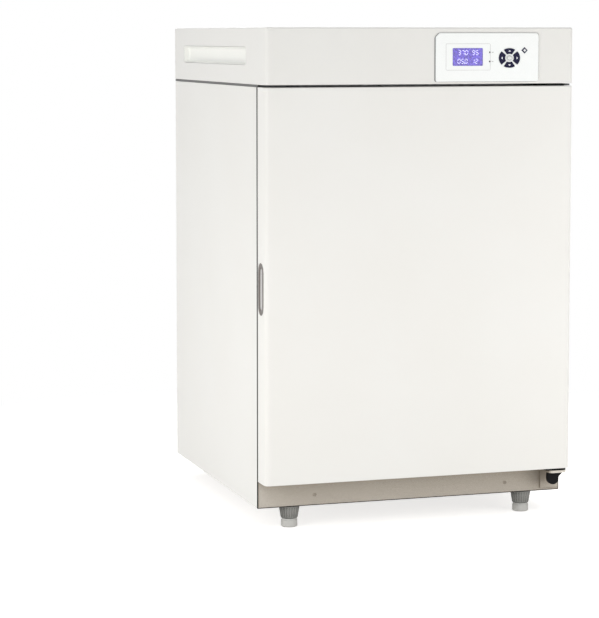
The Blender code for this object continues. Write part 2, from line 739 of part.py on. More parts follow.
def coved_box(grow):
    """The chamber's hollow with round corners, grown outwards by the given amount."""
    outline = rounded((-CHAMBER_HALF - grow, CHAMBER_FLOOR - grow),
                      (CHAMBER_HALF + grow, CHAMBER_CEILING + grow), CHAMBER_COVE + grow)
    shape = prism(outline, "Y", LINER_FRONT - FRAME_SHEET, CHAMBER_BACK + grow)
    back = CHAMBER_BACK + grow
    return round_edges(shape, REAR_COVE + grow, 2, lambda point: near(point.y, back))


def port_passage(start, end):
    """Square hole that the sleeve of the access port passes through."""
    reach = PORT_HALF + CLEAR
    return box((PORT_X - reach, start, PORT_Z - reach), (PORT_X + reach, end, PORT_Z + reach))


def through_wall_holes(piece, clearance):
    """Cut the fan shaft, sensor and access port passages through a piece."""
    high = CASE_TOP + HOOD_GAP
    low = CHAMBER_CEILING - REAR_COVE
    start = CHAMBER_BACK - REAR_COVE
    shaft = cylinder((0.0, CHAMBER_MID), SHAFT_RADIUS + SHAFT_PLAY + clearance, "Z", low, high, 12)
    sensor = cylinder((SENSOR_X, CHAMBER_MID), SENSOR_RADIUS + CLEAR + clearance, "Z", low, high, 12)
    cut(piece, shaft, f"{piece.name}_shaft_hole")
    cut(piece, sensor, f"{piece.name}_sensor_hole")
    cut(piece, port_passage(start, CASE_BACK), f"{piece.name}_port_hole")


def make_chamber():
    """Stainless liner with coved corners and a flange behind the front frame."""
    piece = build_mesh("inner_chamber", coved_box(FRAME_SHEET), "steel", 40)
    lap = FLANGE_LAP
    outline = rounded((-OPEN_HALF - lap, OPEN_LOW - lap), (OPEN_HALF + lap, OPEN_HIGH + lap), FLANGE_ROUND)
    cut(piece, box((-HALF, CASE_FRONT, CASE_BOTTOM), (HALF, LINER_FRONT, CASE_TOP)), "liner_front_trim")
    join(piece, prism(outline, "Y", LINER_FRONT, LINER_FRONT + FRAME_SHEET), "liner_flange")
    cut(piece, coved_box(0.0), "liner_hollow")
    through_wall_holes(piece, 0.0)


def make_insulation():
    """Insulation block between the liner and the outer sheets."""
    low = (-INNER_HALF + CLEAR, JACKET_FRONT, CASE_BOTTOM + BASE_FLANGE + CLEAR)
    high = (INNER_HALF - CLEAR, JACKET_BACK - CLEAR, CASE_TOP - FRAME_SHEET - CLEAR)
    piece = build_mesh("insulation_jacket", box(low, high), "foam")
    cut(piece, coved_box(FRAME_SHEET + CLEAR), "jacket_hollow")
    through_wall_holes(piece, SHAFT_PLAY)


def make_chamber_gasket():
    """Silicone seal on the liner flange that the glass door closes on."""
    outer = rounded((-CHAMBER_HALF - SEAL_WIDTH, CHAMBER_FLOOR - SEAL_WIDTH),
                    (CHAMBER_HALF + SEAL_WIDTH, CHAMBER_CEILING + SEAL_WIDTH), CHAMBER_COVE + SEAL_WIDTH)
    inner = rounded((-CHAMBER_HALF, CHAMBER_FLOOR), (CHAMBER_HALF, CHAMBER_CEILING), CHAMBER_COVE)
    band = ring_prism(outer, inner, "Y", LINER_FRONT - SEAL_THICK, LINER_FRONT - CLEAR)
    build_mesh("chamber_gasket", band, "silicone", 40)


def make_rails():
    """Upright side sheets with a ledge and a stop lip for each shelf."""
    wall = CHAMBER_HALF - CLEAR
    face = wall - SHEET
    ledge = face - RAIL_LEDGE
    outline = [(-wall, RAIL_LOW), (-face, RAIL_LOW)]
    for level in SHELF_LEVELS:
        top = level - CLEAR
        lip = level + SHELF_SHEET + RAIL_LIP_ABOVE
        outline += [(-face, top - SHEET), (-ledge, top - SHEET), (-ledge, top), (-face, top)]
        outline += [(-face, lip), (-ledge - SHEET, lip), (-ledge - SHEET, lip + SHEET),
                    (-face, lip + SHEET)]
    outline += [(-face, RAIL_HIGH), (-wall, RAIL_HIGH)]
    front, back = LINER_FRONT + RAIL_IN, CHAMBER_BACK - RAIL_IN
    bounds = [RAIL_LOW, *SHELF_LEVELS, RAIL_HIGH]
    for side, shape, sign in (("left", outline, -1), ("right", mirror_outline(outline), 1)):
        piece = build_mesh(f"rail_{side}", prism(shape, "Y", front, back), "steel")
        pitch = (back - front) / WINDOW_COLUMNS
        for row in range(len(bounds) - 1):
            low, high = bounds[row] + WINDOW_ABOVE, bounds[row + 1] - WINDOW_BELOW
            for column in range(WINDOW_COLUMNS):
                middle = (front + pitch * (column + 0.5), (low + high) / 2)
                window = slot(middle, pitch * 0.7, (high - low) * 0.5, 3)
                tool = prism(window, "X", sign * (wall + SHEET), sign * (face - SHEET))
                cut(piece, tool, f"rail_{side}_window_{row}_{column}")


def shelf_slots(level):
    """All slots of one shelf as one cutter."""
    shape = bmesh.new()
    reach = CHAMBER_HALF - RAIL_LEDGE - SLOT_EDGE
    front, back = LINER_FRONT + SHELF_IN + SLOT_EDGE, CHAMBER_BACK - SHELF_IN - SLOT_EDGE
    for column in range(SLOT_COLUMNS):
        x = -reach + 2 * reach * (column + 0.5) / SLOT_COLUMNS
        for row in range(SLOT_ROWS):
            y = front + (back - front) * (row + 0.5) / SLOT_ROWS
            outline = slot((x, y), SLOT_LENGTH, SLOT_WIDTH, 3)
            one = prism(outline, "Z", level - SHELF_SHEET, level + 2 * SHELF_SHEET)
            mesh = bpy.data.meshes.new("slot")
            one.to_mesh(mesh)
            one.free()
            shape.from_mesh(mesh)
            bpy.data.meshes.remove(mesh)
    return shape


def make_shelves():
    """Slotted sheets with folded front and back edges, lying on the rail ledges."""
    half = CHAMBER_HALF - 2 * CLEAR - SHEET - SHELF_PLAY
    inner = CHAMBER_HALF - CLEAR - SHEET - RAIL_LEDGE - SHELF_PLAY
    front, back = LINER_FRONT + SHELF_IN, CHAMBER_BACK - SHELF_IN
    for name, level in zip(("lower", "middle", "upper"), SHELF_LEVELS):
        top = level + SHELF_SHEET
        path = [(back, top - SHELF_TURN), (back, top), (front, top), (front, top - SHELF_TURN)]
        strip = folded_strip(path, SHELF_SHEET, SHELF_BEND, 3)
        origin = (0.0, front, level)
        piece = build_mesh(f"shelf_{name}", prism(strip, "X", -inner, inner), "steel", 30, origin)
        wings = box((-half, front + WING_IN, level), (half, back - WING_IN, top))
        join(piece, wings, f"shelf_{name}_wings")
        cut(piece, shelf_slots(level), f"shelf_{name}_slots")


def tapered_box(low, high, taper):
    """A box whose foot is drawn in by the taper on each side."""
    shape = box(low, high)
    middle = ((low[0] + high[0]) / 2, (low[1] + high[1]) / 2)
    for vertex in shape.verts:
        if near(vertex.co.z, low[2]):
            vertex.co.x += -taper if vertex.co.x > middle[0] else taper
            vertex.co.y += -taper if vertex.co.y > middle[1] else taper
    return shape


def upright_edge(edge):
    first, second = edge.verts
    return abs(first.co.z - second.co.z) > 0.01


def make_water_pan():
    """Humidity pan on the chamber floor, with sloping walls and a flat rim."""
    low = (-PAN_WIDTH / 2, CHAMBER_MID - PAN_DEPTH / 2, CHAMBER_FLOOR + CLEAR)
    high = (PAN_WIDTH / 2, CHAMBER_MID + PAN_DEPTH / 2, CHAMBER_FLOOR + CLEAR + PAN_HEIGHT)
    outer = tapered_box(low, high, PAN_TAPER)
    corners = [edge for edge in outer.edges if upright_edge(edge)]
    bmesh.ops.bevel(outer, geom=corners, offset=PAN_ROUND, segments=3, profile=0.5, affect="EDGES")
    piece = build_mesh("water_pan", outer, "steel", 30)
    rim = rounded((low[0] - PAN_RIM, low[1] - PAN_RIM), (high[0] + PAN_RIM, high[1] + PAN_RIM),
                  PAN_ROUND + PAN_RIM)
    join(piece, prism(rim, "Z", high[2] - SHEET, high[2]), "pan_rim")
    wall = SHEET
    inner = tapered_box((low[0] + wall, low[1] + wall, low[2] + wall),
                        (high[0] - wall, high[1] - wall, high[2] + wall), PAN_TAPER)
    corners = [edge for edge in inner.edges if upright_edge(edge)]
    bmesh.ops.bevel(inner, geom=corners, offset=PAN_ROUND - wall, segments=3, profile=0.5, affect="EDGES")
    cut(piece, inner, "pan_hollow")


def make_fan_shroud():
    """Duct tray under the ceiling: intake ring in the middle and outlet slots in both sides."""
    low = (-SHROUD_WIDTH / 2, CHAMBER_MID - SHROUD_DEPTH / 2, SHROUD_LOW)
    high = (SHROUD_WIDTH / 2, CHAMBER_MID + SHROUD_DEPTH / 2, CHAMBER_CEILING - CLEAR)
    shell = round_edges(box(low, high), SHROUD_ROUND, 2, lambda point: near(point.z, low[2]))
    piece = build_mesh("fan_shroud", shell, "steel", 40)
    wall = SHEET
    hollow = box([value + wall for value in low], (high[0] - wall, high[1] - wall, high[2] + wall))
    round_edges(hollow, SHROUD_ROUND - wall, 2, lambda point: near(point.z, low[2] + wall))
    cut(piece, hollow)
    eye = cylinder((0.0, CHAMBER_MID), FAN_EYE, "Z", low[2] - wall, low[2] + 2 * wall, 24)
    cut(piece, eye, "shroud_eye")
    pitch = (high[1] - low[1]) / (OUTLETS + 0.5)
    for k in range(OUTLETS):
        y = CHAMBER_MID + pitch * (k - (OUTLETS - 1) / 2)
        outline = slot((y, (low[2] + high[2]) / 2), pitch * 0.7, OUTLET_WIDTH, 3)
        cut(piece, prism(outline, "X", low[0] - wall, high[0] + wall), f"shroud_outlet_{k}")


def blade_outline(angle):
    """One backward-curved blade seen from above, from the intake to the rim."""
    steps = 3
    inner_radius, outer_radius = FAN_EYE - 2 * FAN_DISC, FAN_RADIUS - FAN_DISC / 2
    sides = ([], [])
    for k in range(steps + 1):
        share = k / steps
        radius = inner_radius + (outer_radius - inner_radius) * share
        sweep = math.radians(angle + BLADE_SWEEP * share ** BLADE_CURVE)
        half = BLADE_THICK / 2 / radius
        for points, sign in zip(sides, (1, -1)):
            turn = sweep + sign * half
            points.append((radius * math.cos(turn), CHAMBER_MID + radius * math.sin(turn)))
    return sides[0] + sides[1][::-1]


def make_impeller():
    """Centrifugal fan wheel with curved blades between a back disc and an intake ring."""
    origin = (0.0, CHAMBER_MID, FAN_TOP)
    disc, hub = FAN_DISC, FAN_HUB
    shaft_end = DECK_TOP + SHAFT_IN_MOTOR
    nose, boss = FAN_LOW + FAN_HEIGHT / 4, FAN_TOP + FAN_OVER / 2
    profile = [(0.0, nose), (hub * 0.7, nose), (hub, FAN_LOW + FAN_HEIGHT / 2), (hub, FAN_TOP - disc),
               (FAN_RADIUS, FAN_TOP - disc), (FAN_RADIUS, FAN_TOP), (hub, FAN_TOP), (hub * 0.8, boss),
               (SHAFT_RADIUS, boss), (SHAFT_RADIUS, shaft_end), (0.0, shaft_end)]
    wheel = turned(profile, (0.0, CHAMBER_MID), "Z", 24)
    piece = build_mesh("fan_impeller", wheel, "aluminium", 30, origin)
    blades = bmesh.new()
    for k in range(FAN_BLADES):
        one = prism(blade_outline(360.0 * k / FAN_BLADES), "Z", FAN_LOW + disc / 2, FAN_TOP - disc / 2)
        mesh = bpy.data.meshes.new("blade")
        one.to_mesh(mesh)
        one.free()
        blades.from_mesh(mesh)
        bpy.data.meshes.remove(mesh)
    join(piece, blades, "fan_blades")
    outer, inner = circle((0.0, CHAMBER_MID), FAN_RADIUS, 24), circle((0.0, CHAMBER_MID), FAN_EYE, 24)
    join(piece, ring_prism(outer, inner, "Z", FAN_LOW, FAN_LOW + disc), "fan_ring")


def make_motor():
    """Fan motor standing on the deck over the shaft, with cooling grooves round its can."""
    foot, top = DECK_TOP + CLEAR, DECK_TOP + CLEAR + MOTOR_HEIGHT
    bore = SHAFT_RADIUS + CLEAR
    seat = DECK_TOP + SHAFT_IN_MOTOR + MOTOR_PLATE
    plate, plate_top = MOTOR_RADIUS + MOTOR_FOOT, foot + MOTOR_PLATE
    profile = [(bore, foot), (plate, foot), (plate, plate_top), (MOTOR_RADIUS, plate_top)]
    pitch = MOTOR_HEIGHT / (MOTOR_GROOVES + 2)
    groove = MOTOR_RADIUS - MOTOR_PLATE / 2
    for k in range(MOTOR_GROOVES):
        z = foot + pitch * (k + 1)
        profile += [(MOTOR_RADIUS, z), (groove, z + pitch * 0.1), (groove, z + pitch * 0.4),
                    (MOTOR_RADIUS, z + pitch * 0.5)]
    profile += [(MOTOR_RADIUS, top - MOTOR_PLATE), (MOTOR_RADIUS - MOTOR_PLATE, top), (0.0, top),
                (0.0, seat), (bore, seat)]
    build_mesh("fan_motor", turned(profile, (0.0, CHAMBER_MID), "Z", 16), "black", 40)


def make_sensor():
    """Gas sensor: a head on the deck with a vented probe through the ceiling."""
    low, flange = CHAMBER_CEILING - SENSOR_DROP, DECK_TOP + CLEAR
    neck, step = SENSOR_RADIUS - SENSOR_VENT, SENSOR_DROP / 20
    vent = low + SENSOR_DROP / 5
    top = flange + SENSOR_HEIGHT
    profile = [(0.0, low), (SENSOR_RADIUS - step, low), (SENSOR_RADIUS, low + step), (SENSOR_RADIUS, vent),
               (neck, vent + step / 2), (neck, vent + 2 * step), (SENSOR_RADIUS, vent + 2.5 * step),
               (SENSOR_RADIUS, flange), (SENSOR_FLANGE, flange), (SENSOR_FLANGE, flange + MOTOR_PLATE),
               (SENSOR_HEAD, flange + MOTOR_PLATE), (SENSOR_HEAD, top - step), (SENSOR_HEAD - step, top),
               (0.0, top)]
    build_mesh("co2_sensor", turned(profile, (SENSOR_X, CHAMBER_MID), "Z", 12), "grey_key", 40)


def make_port():
    """Square sleeve through the rear wall with a round bore, and the stopper that closes it."""
    start, wall_out = CHAMBER_BACK - PORT_INSIDE, CASE_BACK + CLEAR
    half, reach, thick = PORT_HALF, PORT_RIM, PORT_RIM_THICK
    body = box((PORT_X - half, start, PORT_Z - half), (PORT_X + half, wall_out + thick / 2, PORT_Z + half))
    piece = build_mesh("port_sleeve", body, "grey", 40)
    plate = rounded((PORT_X - reach, PORT_Z - reach), (PORT_X + reach, PORT_Z + reach), thick, 3)
    join(piece, prism(plate, "Y", wall_out, wall_out + thick), "port_rim")
    bore = PORT_BORE
    near_end, far_end = start - SHEET, wall_out + 2 * thick
    drill = [(0.0, near_end), (bore, near_end), (bore, far_end), (0.0, far_end)]
    cut(piece, turned(drill, (PORT_X, PORT_Z), "Y", 16), "port_bore")
    seat = wall_out + PORT_RIM_THICK + CLEAR
    reach = CASE_BACK + REAR_REACH
    rim = PORT_RIM_THICK
    plug = [(0.0, seat - PLUG_LENGTH), (bore - rim, seat - PLUG_LENGTH), (bore - CLEAR, seat - 2 * rim),
            (bore - CLEAR, seat), (bore + rim, seat), (bore + rim, seat + rim),
            (bore - rim, seat + 1.5 * rim), (bore - rim, reach - rim / 2), (bore - 1.5 * rim, reach),
            (0.0, reach)]
    build_mesh("port_stopper", turned(plug, (PORT_X, PORT_Z), "Y", 16), "silicone", 40)


def make_hood():
    """Top hood: a sheet shell closed on five sides, with long grips pressed into both sides."""
    low, high = (-HALF, FACE_Y, HOOD_LOW), (HALF, CASE_BACK, HOOD_TOP)
    shell = box(low, high)
    round_upright_corners(shell, low, high, FRONT_ROUND, REAR_ROUND)
    round_edges(shell, TOP_ROUND, 2, lambda point: near(point.z, HOOD_TOP))
    piece = build_mesh("hood_shell", shell, "paint", 30)
    wall = FRAME_SHEET
    inner_low, inner_high = [value + wall for value in low], [value - wall for value in high]
    hollow = box(inner_low, inner_high)
    round_upright_corners(hollow, inner_low, inner_high, FRONT_ROUND - wall, REAR_ROUND - wall)
    hollow_tool = build_mesh("hood_hollow", hollow, None)
    grip_low = (CASE_FRONT + HOOD_GRIP_FRONT, HOOD_LOW + HOOD_GRIP_LOW)
    grip_high = (CASE_BACK - HOOD_GRIP_REAR, grip_low[1] + HOOD_GRIP_HEIGHT)
    for side in (-1, 1):
        guard = rounded((grip_low[0] - wall, grip_low[1] - wall),
                        (grip_high[0] + wall, grip_high[1] + wall), HOOD_GRIP_ROUND + wall, 2)
        guard_tool = prism(guard, "X", side * HALF * 1.01, side * (HALF - HOOD_GRIP_DEPTH - wall))
        cut(hollow_tool, guard_tool, f"grip_wall_{side}")
    cut(piece, hollow_tool)
    for side in (-1, 1):
        pocket = rounded(grip_low, grip_high, HOOD_GRIP_ROUND, 2)
        pocket_tool = prism(pocket, "X", side * HALF * 1.01, side * (HALF - HOOD_GRIP_DEPTH))
        cut(piece, pocket_tool, f"grip_pocket_{side}")
    opening = rounded((-HALF + HOOD_LIP, CASE_FRONT + HOOD_LIP_FRONT),
                      (HALF - HOOD_LIP, CASE_BACK - HOOD_LIP), FRONT_ROUND, 2)
    cut(piece, prism(opening, "Z", HOOD_LOW - wall, HOOD_LOW + 2 * wall), "hood_opening")
    margin = PANEL_LAP
    window = rounded((PANEL_LEFT + margin, PANEL_LOW + margin * 0.6),
                     (PANEL_RIGHT - margin, PANEL_HIGH - margin), PANEL_ROUND, 2)
    cut(piece, prism(window, "Y", FACE_Y - wall, FACE_Y + 2 * wall), "panel_window")
    module = rounded((INLET_X - INLET_HALF - CLEAR, INLET_Z - INLET_TALL - CLEAR),
                     (INLET_X + INLET_HALF + CLEAR, INLET_Z + INLET_TALL + CLEAR), INLET_CORNER, 2)
    cut(piece, prism(module, "Y", CASE_BACK - 2 * wall, CASE_BACK + wall), "inlet_window")
    through = (CASE_BACK - 2 * wall, CASE_BACK + wall)
    nipple = cylinder((VALVE_X, VALVE_Z), VALVE_NECK + CLEAR, "Y", *through, 12)
    cut(piece, nipple, "nipple_hole")
    for k in range(VENT_COUNT):
        x = VENT_X + VENT_PITCH * (k - (VENT_COUNT - 1) / 2)
        vent = slot((x, (HOOD_LOW + HOOD_TOP) / 2), VENT_HEIGHT, VENT_WIDTH, 2, True)
        cut(piece, prism(vent, "Y", *through), f"vent_{k}")


def make_power_module():
    """Mains inlet with three pins and, above it, the well of the rocker switch."""
    rim = rounded((INLET_X - INLET_HALF - INLET_RIM, INLET_Z - INLET_TALL - INLET_RIM),
                  (INLET_X + INLET_HALF + INLET_RIM, INLET_Z + INLET_TALL + INLET_RIM), INLET_RIM, 3)
    face = CASE_BACK + CLEAR + INLET_RIM_THICK
    piece = build_mesh("power_inlet", prism(rim, "Y", CASE_BACK + CLEAR, face), "black")
    body = rounded((INLET_X - INLET_HALF, INLET_Z - INLET_TALL),
                   (INLET_X + INLET_HALF, INLET_Z + INLET_TALL), INLET_CORNER, 2)
    join(piece, prism(body, "Y", CASE_BACK - INLET_BODY, face - INLET_RIM_THICK / 2), "inlet_body")
    low = INLET_Z - INLET_TALL + SOCKET_UP
    shape = [(INLET_X - SOCKET_HALF, low), (INLET_X + SOCKET_HALF, low),
             (INLET_X + SOCKET_HALF, low + SOCKET_TALL * 0.7),
             (INLET_X + SOCKET_HALF * 0.6, low + SOCKET_TALL),
             (INLET_X - SOCKET_HALF * 0.6, low + SOCKET_TALL),
             (INLET_X - SOCKET_HALF, low + SOCKET_TALL * 0.7)]
    bottom = face - SOCKET_DEPTH
    cut(piece, prism(shape, "Y", bottom, face + SHEET), "inlet_socket")
    pin = PIN_HALF
    for k, (dx, dz) in enumerate(((-PIN_SPREAD, PIN_UP), (0.0, EARTH_PIN_UP), (PIN_SPREAD, PIN_UP))):
        x, z = INLET_X + dx, low + dz
        blade = box((x - pin, bottom - pin, z - 2 * pin), (x + pin, face - PIN_SHORT, z + 2 * pin))
        join(piece, blade, f"pin_{k}")
    well = box((INLET_X - SWITCH_HALF, face - SWITCH_WELL, SWITCH_Z - SWITCH_TALL),
               (INLET_X + SWITCH_HALF, face + SHEET, SWITCH_Z + SWITCH_TALL))
    cut(piece, well, "switch_well")


def make_power_switch():
    """Rocker that turns about its middle, drawn resting on its lower half."""
    face = CASE_BACK + CLEAR + INLET_RIM_THICK
    axis_y = face - SWITCH_AXIS_IN
    tall = SWITCH_TALL - 4 * CLEAR
    outline = [(-0.0060, -0.0035), (-0.0060, 0.0035), (0.0030, tall), (0.0062, tall),
               (0.0042, 0.0), (0.0062, -tall), (0.0030, -tall)]
    turn = math.radians(SWITCH_TILT)
    points = []
    for y, z in outline:
        points.append((axis_y + y * math.cos(turn) - z * math.sin(turn),
                       SWITCH_Z + y * math.sin(turn) + z * math.cos(turn)))
    half = SWITCH_HALF - CLEAR
    shape = prism(points, "X", INLET_X - half, INLET_X + half)
    build_mesh("power_switch", shape, "black", None, (INLET_X, axis_y, SWITCH_Z))


def make_gas_valve():
    """Solenoid valve on the deck whose inlet nipple passes out through the hood."""
    foot = DECK_TOP + CLEAR
    back = CASE_BACK - VALVE_FROM_BACK
    top = foot + VALVE_HEIGHT
    body = box((VALVE_X - VALVE_HALF, back - VALVE_DEPTH, foot), (VALVE_X + VALVE_HALF, back, top))
    round_edges(body, SHEET, 1, lambda point: near(point.z, top))
    piece = build_mesh("gas_valve", body, "brass", 40)
    coil = cylinder((VALVE_X, back - VALVE_DEPTH / 2), COIL_RADIUS, "Z", top - SHEET, foot + COIL_TOP, 16)
    join(piece, coil, "valve_coil")
    reach = CASE_BACK + REAR_REACH - SHEET
    neck, nut = VALVE_BORE, VALVE_NUT
    nut_end = CASE_BACK + nut / 2
    profile = [(0.0, back - nut), (VALVE_NECK, back - nut), (VALVE_NECK, CASE_BACK + CLEAR),
               (nut, CASE_BACK + CLEAR), (nut, nut_end), (neck, nut_end)]
    barbs = 3
    pitch = (reach - nut_end) / (barbs + 0.5)
    for k in range(barbs):
        y = nut_end + pitch * (k + 0.5)
        profile += [(neck + SHEET, y), (neck, y + pitch * 0.95)]
    profile += [(0.0, profile[-1][1])]
    join(piece, turned(profile, (VALVE_X, VALVE_Z), "Y", 12), "valve_nipple")


def key_outline(name, grow=0.0):
    """A key of the ring: the stretch between two ellipses about its direction."""
    direction, half_span = KEY_SPANS[name]
    outer = (RING_WIDE + grow, RING_TALL + grow)
    inner = (RING_WIDE * RING_INNER - grow, RING_TALL * RING_INNER - grow)
    extra = math.degrees(grow / RING_TALL) * 1.6
    first, last = direction - half_span - extra, direction + half_span + extra
    centre = (RING_X, RING_Z)
    return arc(centre, outer, first, last, 6) + arc(centre, inner, last, first, 4)


def small_key_outline(grow=0.0):
    reach = SMALL_KEY + grow * math.sqrt(2)
    corners = ((reach, 0), (0, reach), (-reach, 0), (0, -reach))
    return [(SMALL_KEY_X + dx, SMALL_KEY_Z + dz) for dx, dz in corners]


def centre_key_outline(grow=0.0):
    radii = (CENTRE_KEY_WIDE + grow, CENTRE_KEY_TALL + grow)
    return arc((RING_X, RING_Z), radii, 0, 360, 16)[:-1]


def key_outlines(grow=0.0):
    outlines = {name: key_outline(name, grow) for name in KEY_SPANS}
    outlines["key_centre"] = centre_key_outline(grow)
    outlines["key_small"] = small_key_outline(grow)
    return outlines


def make_panel():
    """Raised control panel with its window, lamp holes and key cut-outs."""
    front, back = FACE_Y - PANEL_PROUD, FACE_Y - CLEAR
    radius = PANEL_ROUND
    outline = arc((PANEL_RIGHT - radius, PANEL_HIGH - radius), (radius, radius), 0, 90, 4)
    outline += [(PANEL_LEFT + PANEL_CUT, PANEL_HIGH), (PANEL_LEFT, PANEL_HIGH - PANEL_CUT)]
    for x, start in ((PANEL_LEFT + radius / 2, 180), (PANEL_RIGHT - radius / 2, 270)):
        outline += arc((x, PANEL_LOW + radius / 2), (radius / 2, radius / 2), start, start + 90, 3)
    shape = prism(outline, "Y", front, back)
    round_edges(shape, PANEL_BEVEL, 1, lambda point: near(point.y, front))
    piece = build_mesh("control_panel", shape, "panel")
    through = (front - SHEET, back + SHEET)
    half_w, half_h = SCREEN_WIDTH / 2 + CLEAR, SCREEN_HEIGHT / 2 + CLEAR
    window = rounded((SCREEN_X - half_w, SCREEN_Z - half_h), (SCREEN_X + half_w, SCREEN_Z + half_h),
                     SCREEN_ROUND + CLEAR, 2)
    cut(piece, prism(window, "Y", *through), "screen_hole")
    for k, z in enumerate(LED_Z):
        cut(piece, cylinder((LED_X, z), LED_RADIUS + CLEAR, "Y", *through, 10), f"lamp_hole_{k}")
    for name, hole in key_outlines(CLEAR).items():
        cut(piece, prism(hole, "Y", *through), f"{name}_hole")


def make_screen():
    """Clear window, display module and the two lamps."""
    half_w, half_h = SCREEN_WIDTH / 2, SCREEN_HEIGHT / 2
    front = FACE_Y - PANEL_PROUD
    window = rounded((SCREEN_X - half_w, SCREEN_Z - half_h), (SCREEN_X + half_w, SCREEN_Z + half_h),
                     SCREEN_ROUND, 2)
    pane_back = front + CLEAR + SCREEN_PANE
    piece = build_mesh("display_window", prism(window, "Y", front + CLEAR, pane_back), None)
    piece.data.materials.append(make_material("display_window", (0.75, 0.78, 0.85), 0.08, 0.0, 0.35))
    frame = SCREEN_FRAME
    low = (SCREEN_X - half_w - frame, FACE_Y, SCREEN_Z - half_h - frame)
    high = (SCREEN_X + half_w + frame, FACE_Y + BOARD_BACK - CLEAR, SCREEN_Z + half_h + frame)
    module = build_mesh("lcd_module", box(low, high), None)
    module.data.materials.append(make_material("lcd_module", (0.25, 0.20, 0.75), 0.35, 0.0, 1.0, 0.6))
    inset_w, inset_h = half_w - CLEAR, half_h - CLEAR
    glass = rounded((SCREEN_X - inset_w, SCREEN_Z - inset_h), (SCREEN_X + inset_w, SCREEN_Z + inset_h),
                    SCREEN_ROUND, 2)
    join(module, prism(glass, "Y", pane_back + CLEAR, FACE_Y + SHEET), "lcd_glass")
    for name, z in zip(("led_upper", "led_lower"), LED_Z):
        tip = front - CLEAR
        stop = FACE_Y + BOARD_BACK - CLEAR
        profile = [(0.0, tip), (LED_RADIUS * 0.6, tip), (LED_RADIUS, tip + LED_RADIUS * 0.4),
                   (LED_RADIUS, stop), (0.0, stop)]
        build_mesh(name, turned(profile, (LED_X, z), "Y", 10), "led", 60)


def make_keys():
    """Keys that stand proud of the panel and reach back to their switches."""
    front = FACE_Y - PANEL_PROUD - KEY_PROUD
    back = FACE_Y + BOARD_BACK - SWITCH_TALL_ON_BOARD
    for name, outline in key_outlines().items():
        us = [u for u, v in outline]
        vs = [v for u, v in outline]
        origin = ((min(us) + max(us)) / 2, front, (min(vs) + max(vs)) / 2)
        shape = prism(outline, "Y", front, back)
        round_edges(shape, KEY_BEVEL, 1, lambda point: near(point.y, front))
        finish = "grey_key" if name == "key_centre" else "navy"
        build_mesh(name, shape, finish, 30, origin)


def key_centres():
    centres = []
    for outline in key_outlines().values():
        us = [u for u, v in outline]
        vs = [v for u, v in outline]
        centres.append(((min(us) + max(us)) / 2, (min(vs) + max(vs)) / 2))
    return centres


def make_control_board():
    """Circuit board behind the panel with a switch under each key and its larger parts."""
    front = FACE_Y + BOARD_BACK
    back = front + BOARD_THICK
    low = (PANEL_LEFT + BOARD_IN, HOOD_LOW + FRAME_SHEET + CLEAR)
    high = (PANEL_RIGHT - BOARD_IN, PANEL_HIGH - BOARD_DOWN)
    outline = rounded(low, high, 2 * BOARD_THICK, 2)
    piece = build_mesh("control_board", prism(outline, "Y", front, back), "board")
    tip = front - SWITCH_TALL_ON_BOARD + KEY_TRAVEL + CLEAR
    reach = SWITCH_SIZE
    for k, (x, z) in enumerate(key_centres()):
        key_switch = box((x - reach, tip, z - reach), (x + reach, front + BOARD_THICK / 2, z + reach))
        join(piece, key_switch, f"key_switch_{k}")
    relay_z = RING_Z + RELAY_ABOVE
    parts = {"processor": (SCREEN_X, SCREEN_Z, CHIP, CHIP, CHIP_DEPTH),
             "relay_one": (RING_X, relay_z, RELAY, RELAY, RELAY_DEPTH),
             "relay_two": (RING_X + RELAY_PITCH, relay_z, RELAY, RELAY, RELAY_DEPTH),
             "connector": (RING_X, RING_Z - PLUG_BELOW, PLUG_HALF, RELAY, PLUG_DEPTH)}
    for name, (x, z, half_wide, half_tall, depth) in parts.items():
        body = box((x - half_wide, back - BOARD_THICK / 2, z - half_tall),
                   (x + half_wide, back + depth, z + half_tall))
        join(piece, body, f"board_{name}")


def make_power_supply():
    """Transformer on the deck: laminated core, winding and foot flanges."""
    foot = DECK_TOP + CLEAR
    x, y = -HALF + CORE_IN, CHAMBER_MID
    half_x, half_y, top = CORE_HALF, CORE_HALF_DEPTH, foot + CORE_HEIGHT
    core = box((x - half_x, y - half_y, foot), (x + half_x, y + half_y, top))
    piece = build_mesh("power_supply", core, "zinc")
    flange = box((x - half_x - CORE_FOOT, y - half_y, foot),
                 (x + half_x + CORE_FOOT, y + half_y, foot + CORE_FOOT_THICK))
    join(piece, flange, "transformer_feet")
    winding = rounded((x - half_x + WINDING, foot + WINDING), (x + half_x - WINDING, top - WINDING),
                      WINDING / 3, 2)
    join(piece, prism(winding, "Y", y - half_y - WINDING, y + half_y + WINDING), "transformer_winding")


